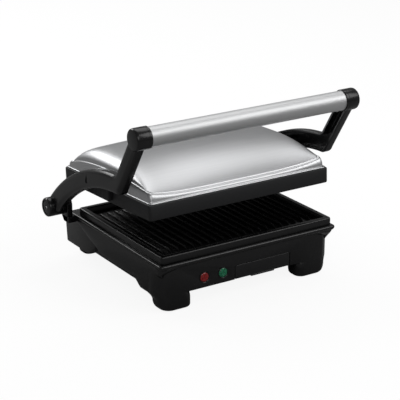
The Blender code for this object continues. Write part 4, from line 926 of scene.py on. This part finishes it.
def armOutline(s, inset):
    # closed (y, z) outline: always the same number of points, shrunk inwards by inset
    hinge, bar = Vector((s["hingeY"], s["hingeZ"])), Vector((s["barY"], s["barZ"]))
    reach, drop = s["hingeY"] - s["crownY"], s["crownZ"] - s["hingeZ"]
    radius = (reach * reach + drop * drop) / (2 * drop)
    centre = Vector((s["crownY"], s["crownZ"] - radius))
    band, post = s["band"] - inset, s["post"] - inset
    barrel, socket = s["barrel"] - inset, s["socket"] - inset
    elbowAngle = math.asin((s["elbowY"] - s["crownY"]) / radius)
    elbow = centre + radius * Vector((math.sin(elbowAngle), math.cos(elbowAngle)))
    up = (bar - elbow).normalized()
    back = Vector((up.y, -up.x))
    hingeAngle = math.asin(reach / radius) - math.sqrt(barrel ** 2 - band ** 2) / radius

    def onBand(angle, offset):
        return centre + (radius + offset) * Vector((math.sin(angle), math.cos(angle)))

    # inner corner, where the band's upper edge meets the back of the upright
    start = elbow + back * post - centre
    along = start.dot(up)
    rise = -along + math.sqrt(along ** 2 - start.length_squared + (radius + band) ** 2)
    corner = centre + start + up * rise
    # the corner is filleted with a small arc between band and upright
    fillet = s["fillet"] + inset
    cornerAngle = math.atan2(corner.x - centre.x, corner.y - centre.y)
    filletStart = cornerAngle + fillet / radius
    steps = 40
    points = [onBand(hingeAngle + (filletStart - hingeAngle) * i / steps, band)
              for i in range(steps + 1)]
    enter, leave = points[-1], corner + up * fillet
    for i in range(1, 9):
        t = i / 8
        points.append(enter * (1 - t) ** 2 + corner * 2 * t * (1 - t) + leave * t ** 2)
    neck = math.sqrt(socket ** 2 - post ** 2)
    points.append(bar + back * post - up * neck)
    points += arcPoints(bar, socket, angleOf(back * post - up * neck),
                        angleOf(-back * post - up * neck) + 360, 28)[1:]
    points += arcPoints(elbow, post, angleOf(-back) + 360,
                        angleOf(onBand(elbowAngle, -1.0) - elbow) + 360, 16, band)
    for i in range(1, steps + 1):
        points.append(onBand(elbowAngle + (hingeAngle - elbowAngle) * i / steps, -band))
    lowAngle = angleOf(points[-1] - hinge)
    if lowAngle > 0:
        lowAngle -= 360
    points += arcPoints(hinge, barrel, lowAngle, angleOf(points[0] - hinge), 24)[1:-1]
    return points


def buildArm(s, side, name, node):
    def layered(layers, outline):
        bm = bmesh.new()
        loft(bm, [[(side * x, y, z) for y, z in outline(inset)] for x, inset in layers])
        return pieceFrom("layers", bm)

    inside, outside, soft = s["inside"], s["outside"], s["innerRound"]
    layers = [(inside + rise, inset) for inset, rise in quarterRound(soft, 3)]
    layers += [(outside - inset, rise) for inset, rise in quarterRound(s["round"], 7)]
    arm = layered(layers, lambda inset: armOutline(s, inset))
    web, flange = outside - s["web"], s["flange"]
    channel = layered([(inside - 3, flange), (web - 1, flange + 0.2), (web, flange + 1.2)],
                      lambda inset: armOutline(s, inset))
    # drop-shaped mark sunk in the outer face over the lid's pivot
    drop = arcPoints((s["pivotY"], s["pivotZ"] + 1.0), 2.7, 160, 380, 18)
    drop.append((s["pivotY"] - 0.6, s["pivotZ"] + 11.0))
    mark = layered([(outside - 1.1, 0), (outside + 2, 0)], lambda inset: drop)
    cutAway(arm, [channel, mark])
    bm = bmesh.new()
    takeAway(arm, bm)
    bmesh.ops.transform(bm, matrix=drawnToFrame.inverted(), verts=bm.verts)
    for shape, y, z, segments in (("barrelShape", s["hingeY"], s["hingeZ"], 64),
                                  ("socketShape", s["barY"], s["barZ"], 64),
                                  ("bossShape", s["pivotY"], s["pivotZ"], 40)):
        turned(bm, [(side * x, r) for x, r in s[shape]], (0, y, z), "X", segments)
    finishPiece(pieceFrom(name, bm, sharpAngle=34), "arms", satinBlack, [node])


buildArm(armSizes, -1, "armLeft", "arm_left")
buildArm(armSizes, 1, "armRight", "arm_right")

tubeSizes = {"half": 166.4, "radius": 14.0, "soft": 0.4, "rings": 24}


def buildTube(s):
    half, radius, soft = s["half"], s["radius"], s["soft"]
    ends = [(half, 0), (half, radius - soft), (half - soft, radius)]
    middle = [(-half + 1 + (2 * half - 2) * i / s["rings"], radius)
              for i in range(s["rings"] + 1)]
    bm = bmesh.new()
    turned(bm, [(-x, r) for x, r in ends] + middle + ends[::-1],
           (0, armSizes["barY"], armSizes["barZ"]), "X", 96)
    finishPiece(pieceFrom("handleTube", bm), "arms", tubeSteel, ["handle_tube"])


buildTube(tubeSizes)

capSizes = {"shape": [(184.9, 0), (184.9, 10.1), (186.2, 10.1), (186.9, 9.7), (187.1, 9.0),
                      (187.1, 3.2), (186.6, 2.7), (186.2, 2.6), (186.2, 0)],
            "screwX": 186.3, "screw": {"Head Radius": 0.0022, "Head Height": 0.0005,
                                       "Shank Radius": 0.0012, "Shank Length": 0.0006}}


def buildHubs(s, y, z):
    sides = ((-1, "Left"), (1, "Right"))
    for side, word in sides:
        bm = bmesh.new()
        turned(bm, [(side * x, r) for x, r in s["shape"]], (0, y, z), "X", 56)
        finishPiece(pieceFrom("hubCap" + word, bm, sharpAngle=30), "arms", satinBlack,
                    ["hub_cap_" + word.lower()])
    for side, word in sides:
        screwSet("hubScrew" + word, [(side * s["screwX"], y, z)], "arms", s["screw"],
                 (0, side * math.pi / 2, 0), ["hub_screw_" + word.lower()])


buildHubs(capSizes, armSizes["hingeY"], armSizes["hingeZ"])

handleScrew = {"Head Radius": 0.0023, "Head Height": 0.0011, "Shank Radius": 0.0013,
               "Shank Length": 0.004}
handleScrewPlaces = [(-152.4, 7.5, 241.5), (152.4, 7.5, 241.5)]
screwSet("handleScrews", handleScrewPlaces, "arms", handleScrew, (math.pi, 0, 0.4),
         ["handle_screw_left", "handle_screw_right"])
coverScrew = {"Head Radius": 0.0030, "Head Height": 0.0012, "Shank Radius": 0.0014,
              "Shank Length": 0.003}
coverScrewPlaces = [(x, y, 25.0) for x in (-120, 120) for y in (76, 200)]
screwSet("coverScrews", coverScrewPlaces, "base", coverScrew, (math.pi, 0, 0.2))
print("arms and handle ready")

bandSizes = {"halfX": 149.5, "halfY": 121.5, "middleY": 3.5, "low": -33.7, "top": -11.6,
             "corner": 5.0, "wall": 3.2, "seat": 11.8, "seatDepth": 18.0, "earHalf": 16.0,
             "earNeck": 11.5, "earRadius": 9.0, "earInner": 147.0, "earOuter": 155.6}


def buildBand(s):
    low, top, wall = s["low"], s["top"], s["wall"]
    seatLow = low + s["seat"]
    section = [(0, low + 1.4), (0.4, low + 0.5), (1.3, low), (wall - 0.5, low),
               (wall, low + 0.5), (wall, seatLow), (s["seatDepth"], seatLow),
               (s["seatDepth"], seatLow + 3),
               (wall + 0.4, seatLow + 3), (wall, seatLow + 3.4), (wall, top - 0.5),
               (wall - 0.5, top), (1.5, top), (0.5, top - 0.5), (0, top - 1.5)]
    bm = bmesh.new()
    loopLoft(bm, shrunkRings(section, s["halfX"], s["halfY"], s["corner"], 0.4, 12,
                             (0, s["middleY"])))
    half, neck = s["earHalf"], s["earNeck"]
    ear = [(-half, low + 5), (half, low + 5), (half, top - 2.5), (neck, -3.5)]
    ear += arcPoints((0, 0), s["earRadius"], 8, 172, 24)
    ear += [(-neck, -3.5), (-half, top - 2.5)]
    for side in (-1, 1):
        sidePrism(bm, ear, side * s["earInner"], side * s["earOuter"], 1.2)
    return pieceFrom("lidBand", bm, lidToFrame, 34)


finishPiece(buildBand(bandSizes), "lid", bandBlack, ["lid_frame"])

coverSizes = {"halfX": 147.5, "halfY": 119.5, "middleY": 3.5, "base": -11.3, "sheet": 1.2,
              "corner": 5.0, "flangeFront": 3.4, "flangeEnd": 2.0, "foldFront": 9.6,
              "foldEnd": 5.0, "foldCorner": 8.0, "groove": 1.0,
              "foldHeight": 6.7, "cornerRise": 7.0, "endRise": 8.0, "crown": 43.0,
              "crownFall": 6.0, "endPower": 18.0, "endRound": 0.52, "depthPower": 2.3,
              "depthRound": 0.92, "rearPower": 4.2, "rearDrop": 6.0}


def crownHeight(s, x, y):
    # low along the front and back folds, higher at the ends, highest in the middle
    u = min(abs(x) / (s["halfX"] - s["foldEnd"]), 1.0)
    v = min(abs(y) / (s["halfY"] - s["foldFront"]), 1.0)
    atRear = v if y > 0 else 0.0
    fold = s["foldHeight"] + s["cornerRise"] * u ** 4 + s["endRise"] * u ** 4 * (1 - v * v)
    fold -= s["rearDrop"] * u ** 4 * atRear ** 5
    ends = (1 - u ** s["endPower"]) ** s["endRound"]
    power = s["rearPower"] if y > 0 else s["depthPower"]
    depth = (1 - v ** power) ** s["depthRound"]
    return fold + (s["crown"] - s["crownFall"] * u * u - fold) * ends * depth


def buildCover(s):
    def ringAt(insetX, insetY, radius):
        return roundedRect(s["halfX"] - insetX, s["halfY"] - insetY, radius, 10, 24)

    bm = bmesh.new()
    rings = []
    fold = ringAt(s["foldEnd"], s["foldFront"], s["foldCorner"])
    foldTop = [crownHeight(s, x, y) for x, y in fold]
    for inset, z in ((0.3, 0.0), (0.0, 0.4), (0.15, 0.95), (0.6, 1.25), (1.2, 1.35)):
        rings.append([(x, y, z) for x, y in ringAt(inset, inset, s["corner"])])
    rings.append([(x, y, 1.4) for x, y in ringAt(s["flangeEnd"] - 0.5,
                                                 s["flangeFront"] - 0.5, s["corner"])])
    outer = ringAt(s["flangeEnd"], s["flangeFront"], s["corner"])
    # convex roll from the flange up to the fold, ending in a fine groove
    for i in range(1, 13):
        turn = math.radians(7.5 * i)
        share, rise = 1 - math.cos(turn), math.sin(turn)
        rings.append([(ox + (cx - ox) * share * 0.88, oy + (cy - oy) * share * 0.88,
                       1.7 + (height - 1.7) * rise)
                      for (ox, oy), (cx, cy), height in zip(outer, fold, foldTop)])
    rings.append([(x, y, height - s["groove"]) for (x, y), height in zip(fold, foldTop)])
    for k in range(36):
        share = 0.993 * math.sin(math.radians(89.5 * (1 - k / 36)))
        rings.append([(x * share, y * share, crownHeight(s, x * share, y * share))
                      for x, y in fold])
    lifted = [[(x, y + s["middleY"], z + s["base"]) for x, y, z in ring] for ring in rings]
    loft(bm, lifted, capStart=False, fan=True)
    cover = pieceFrom("lidCover", bm, lidToFrame, 60)
    sheet = cover.modifiers.new("sheet", "SOLIDIFY")
    sheet.thickness = s["sheet"] * 0.001
    sheet.offset = -1.0
    settle(cover, 50)
    return cover


finishPiece(buildCover(coverSizes), "lid", coverSteel, ["lid_cover"])
print("lid ready")

# CAD nodes that stay, with finer materials
kept = {"base_bottom_cover": satinBlack, "lower_heating_element": sheathSteel,
        "upper_heating_element": sheathSteel, "lower_reflector": sheetAlloy,
        "upper_reflector": sheetAlloy, "lower_thermostat": brightSteel,
        "upper_thermostat": brightSteel, "indicator_board": boardGreen,
        "hinge_axle_left": brightSteel, "hinge_axle_right": brightSteel,
        "lid_pivot_pin_left": brightSteel, "lid_pivot_pin_right": brightSteel}
for node, material in kept.items():
    piece = frame["nodes"][node]
    if not piece.data.materials:
        piece.data.materials.append(material)
    for slotPlace in piece.material_slots:
        slotPlace.material = material

stageSizes = {"floorHalf": 6.0, "floorTone": 0.88, "roomLight": 0.20, "backLight": 1.05,
              "bounceTone": 0.30, "glowShare": 0.86}


def seenOnly(nodes, hidden, seen, output):
    # one shader for what the camera sees, another for the light it throws on the press
    ray = addNode(nodes, "ShaderNodeLightPath").outputs["Is Camera Ray"]
    mix = addNode(nodes, "ShaderNodeMixShader", {0: ray, 1: hidden.outputs[0],
                                                 2: seen.outputs[0]})
    setInputs(nodes[output], {"Surface": mix.outputs[0]})


def buildStage(s):
    bm = bmesh.new()
    bmesh.ops.create_grid(bm, x_segments=1, y_segments=1, size=s["floorHalf"])
    floor = pieceFrom("floor", bm, Matrix.Identity(4), recalc=False)
    material, nodes, shader = startMaterial("paleFloor")[:3]
    setInputs(shader, {"Base Color": (s["floorTone"],) * 3 + (1,), "Roughness": 0.9})
    floor.data.materials.append(material)
    glow = addNode(nodes, "ShaderNodeEmission", {"Strength": s["backLight"]})
    dark = addNode(nodes, "ShaderNodeBsdfDiffuse", {"Color": (s["bounceTone"],) * 3 + (1,)})
    bright = addNode(nodes, "ShaderNodeMixShader", {
        0: s["glowShare"], 1: shader.outputs[0], 2: glow.outputs[0]})
    seenOnly(nodes, dark, bright, "Material Output")
    world = bpy.data.worlds.new("studio")
    bpy.context.scene.world = world
    world.use_nodes = True
    nodes = world.node_tree.nodes
    room = nodes["Background"]
    setInputs(room, {"Color": (1, 1, 1, 1), "Strength": s["roomLight"]})
    wall = addNode(nodes, "ShaderNodeBackground", {"Strength": s["backLight"]})
    seenOnly(nodes, room, wall, "World Output")


lampSizes = {
    # name: place, aim, width, height, power
    "key": ((1.25, -1.35, 1.65), (0.0, 0.0, 0.12), 1.7, 1.3, 17.0),
    "top": ((0.6, 0.7, 2.1), (0.0, 0.0, 0.1), 1.8, 1.4, 13.0),
    "back": ((-0.6, 2.1, 1.5), (0.0, 0.0, 0.1), 2.0, 0.9, 22.0),
    "front": ((-0.9, -2.0, 1.3), (0.0, 0.0, 0.1), 1.4, 0.8, 7.0)}


def buildLamps(lamps):
    for name, (spot, aim, width, height, power) in lamps.items():
        light = bpy.data.lights.new(name, "AREA")
        light.shape = "RECTANGLE"
        light.size, light.size_y = width, height
        light.energy = power
        lamp = bpy.data.objects.new(name, light)
        lamp.location = spot
        lamp.rotation_mode = "QUATERNION"
        lamp.rotation_quaternion = (Vector(aim) - Vector(spot)).to_track_quat("-Z", "Y")
        bpy.context.scene.collection.objects.link(lamp)


cameraSizes = {"place": (-1.0790, -1.6765, 0.8252), "azimuth": -32.869, "elevation": 20.007,
               "lens": 131.04, "sensor": 36.0}


def buildCamera(s):
    camera = bpy.data.objects.new("camera", bpy.data.cameras.new("camera"))
    camera.data.lens = s["lens"]
    camera.data.sensor_width = s["sensor"]
    azimuth, elevation = math.radians(s["azimuth"]), math.radians(s["elevation"])
    back = Vector((math.sin(azimuth) * math.cos(elevation),
                   -math.cos(azimuth) * math.cos(elevation), math.sin(elevation)))
    camera.location = s["place"]
    camera.rotation_mode = "QUATERNION"
    camera.rotation_quaternion = (-back).to_track_quat("-Z", "Y")
    camera.data.clip_start, camera.data.clip_end = 0.05, 30.0
    bpy.context.scene.collection.objects.link(camera)
    bpy.context.scene.camera = camera


buildStage(stageSizes)
buildLamps(lampSizes)
buildCamera(cameraSizes)
bpy.context.scene.view_settings.view_transform = "Standard"
print("stage ready")
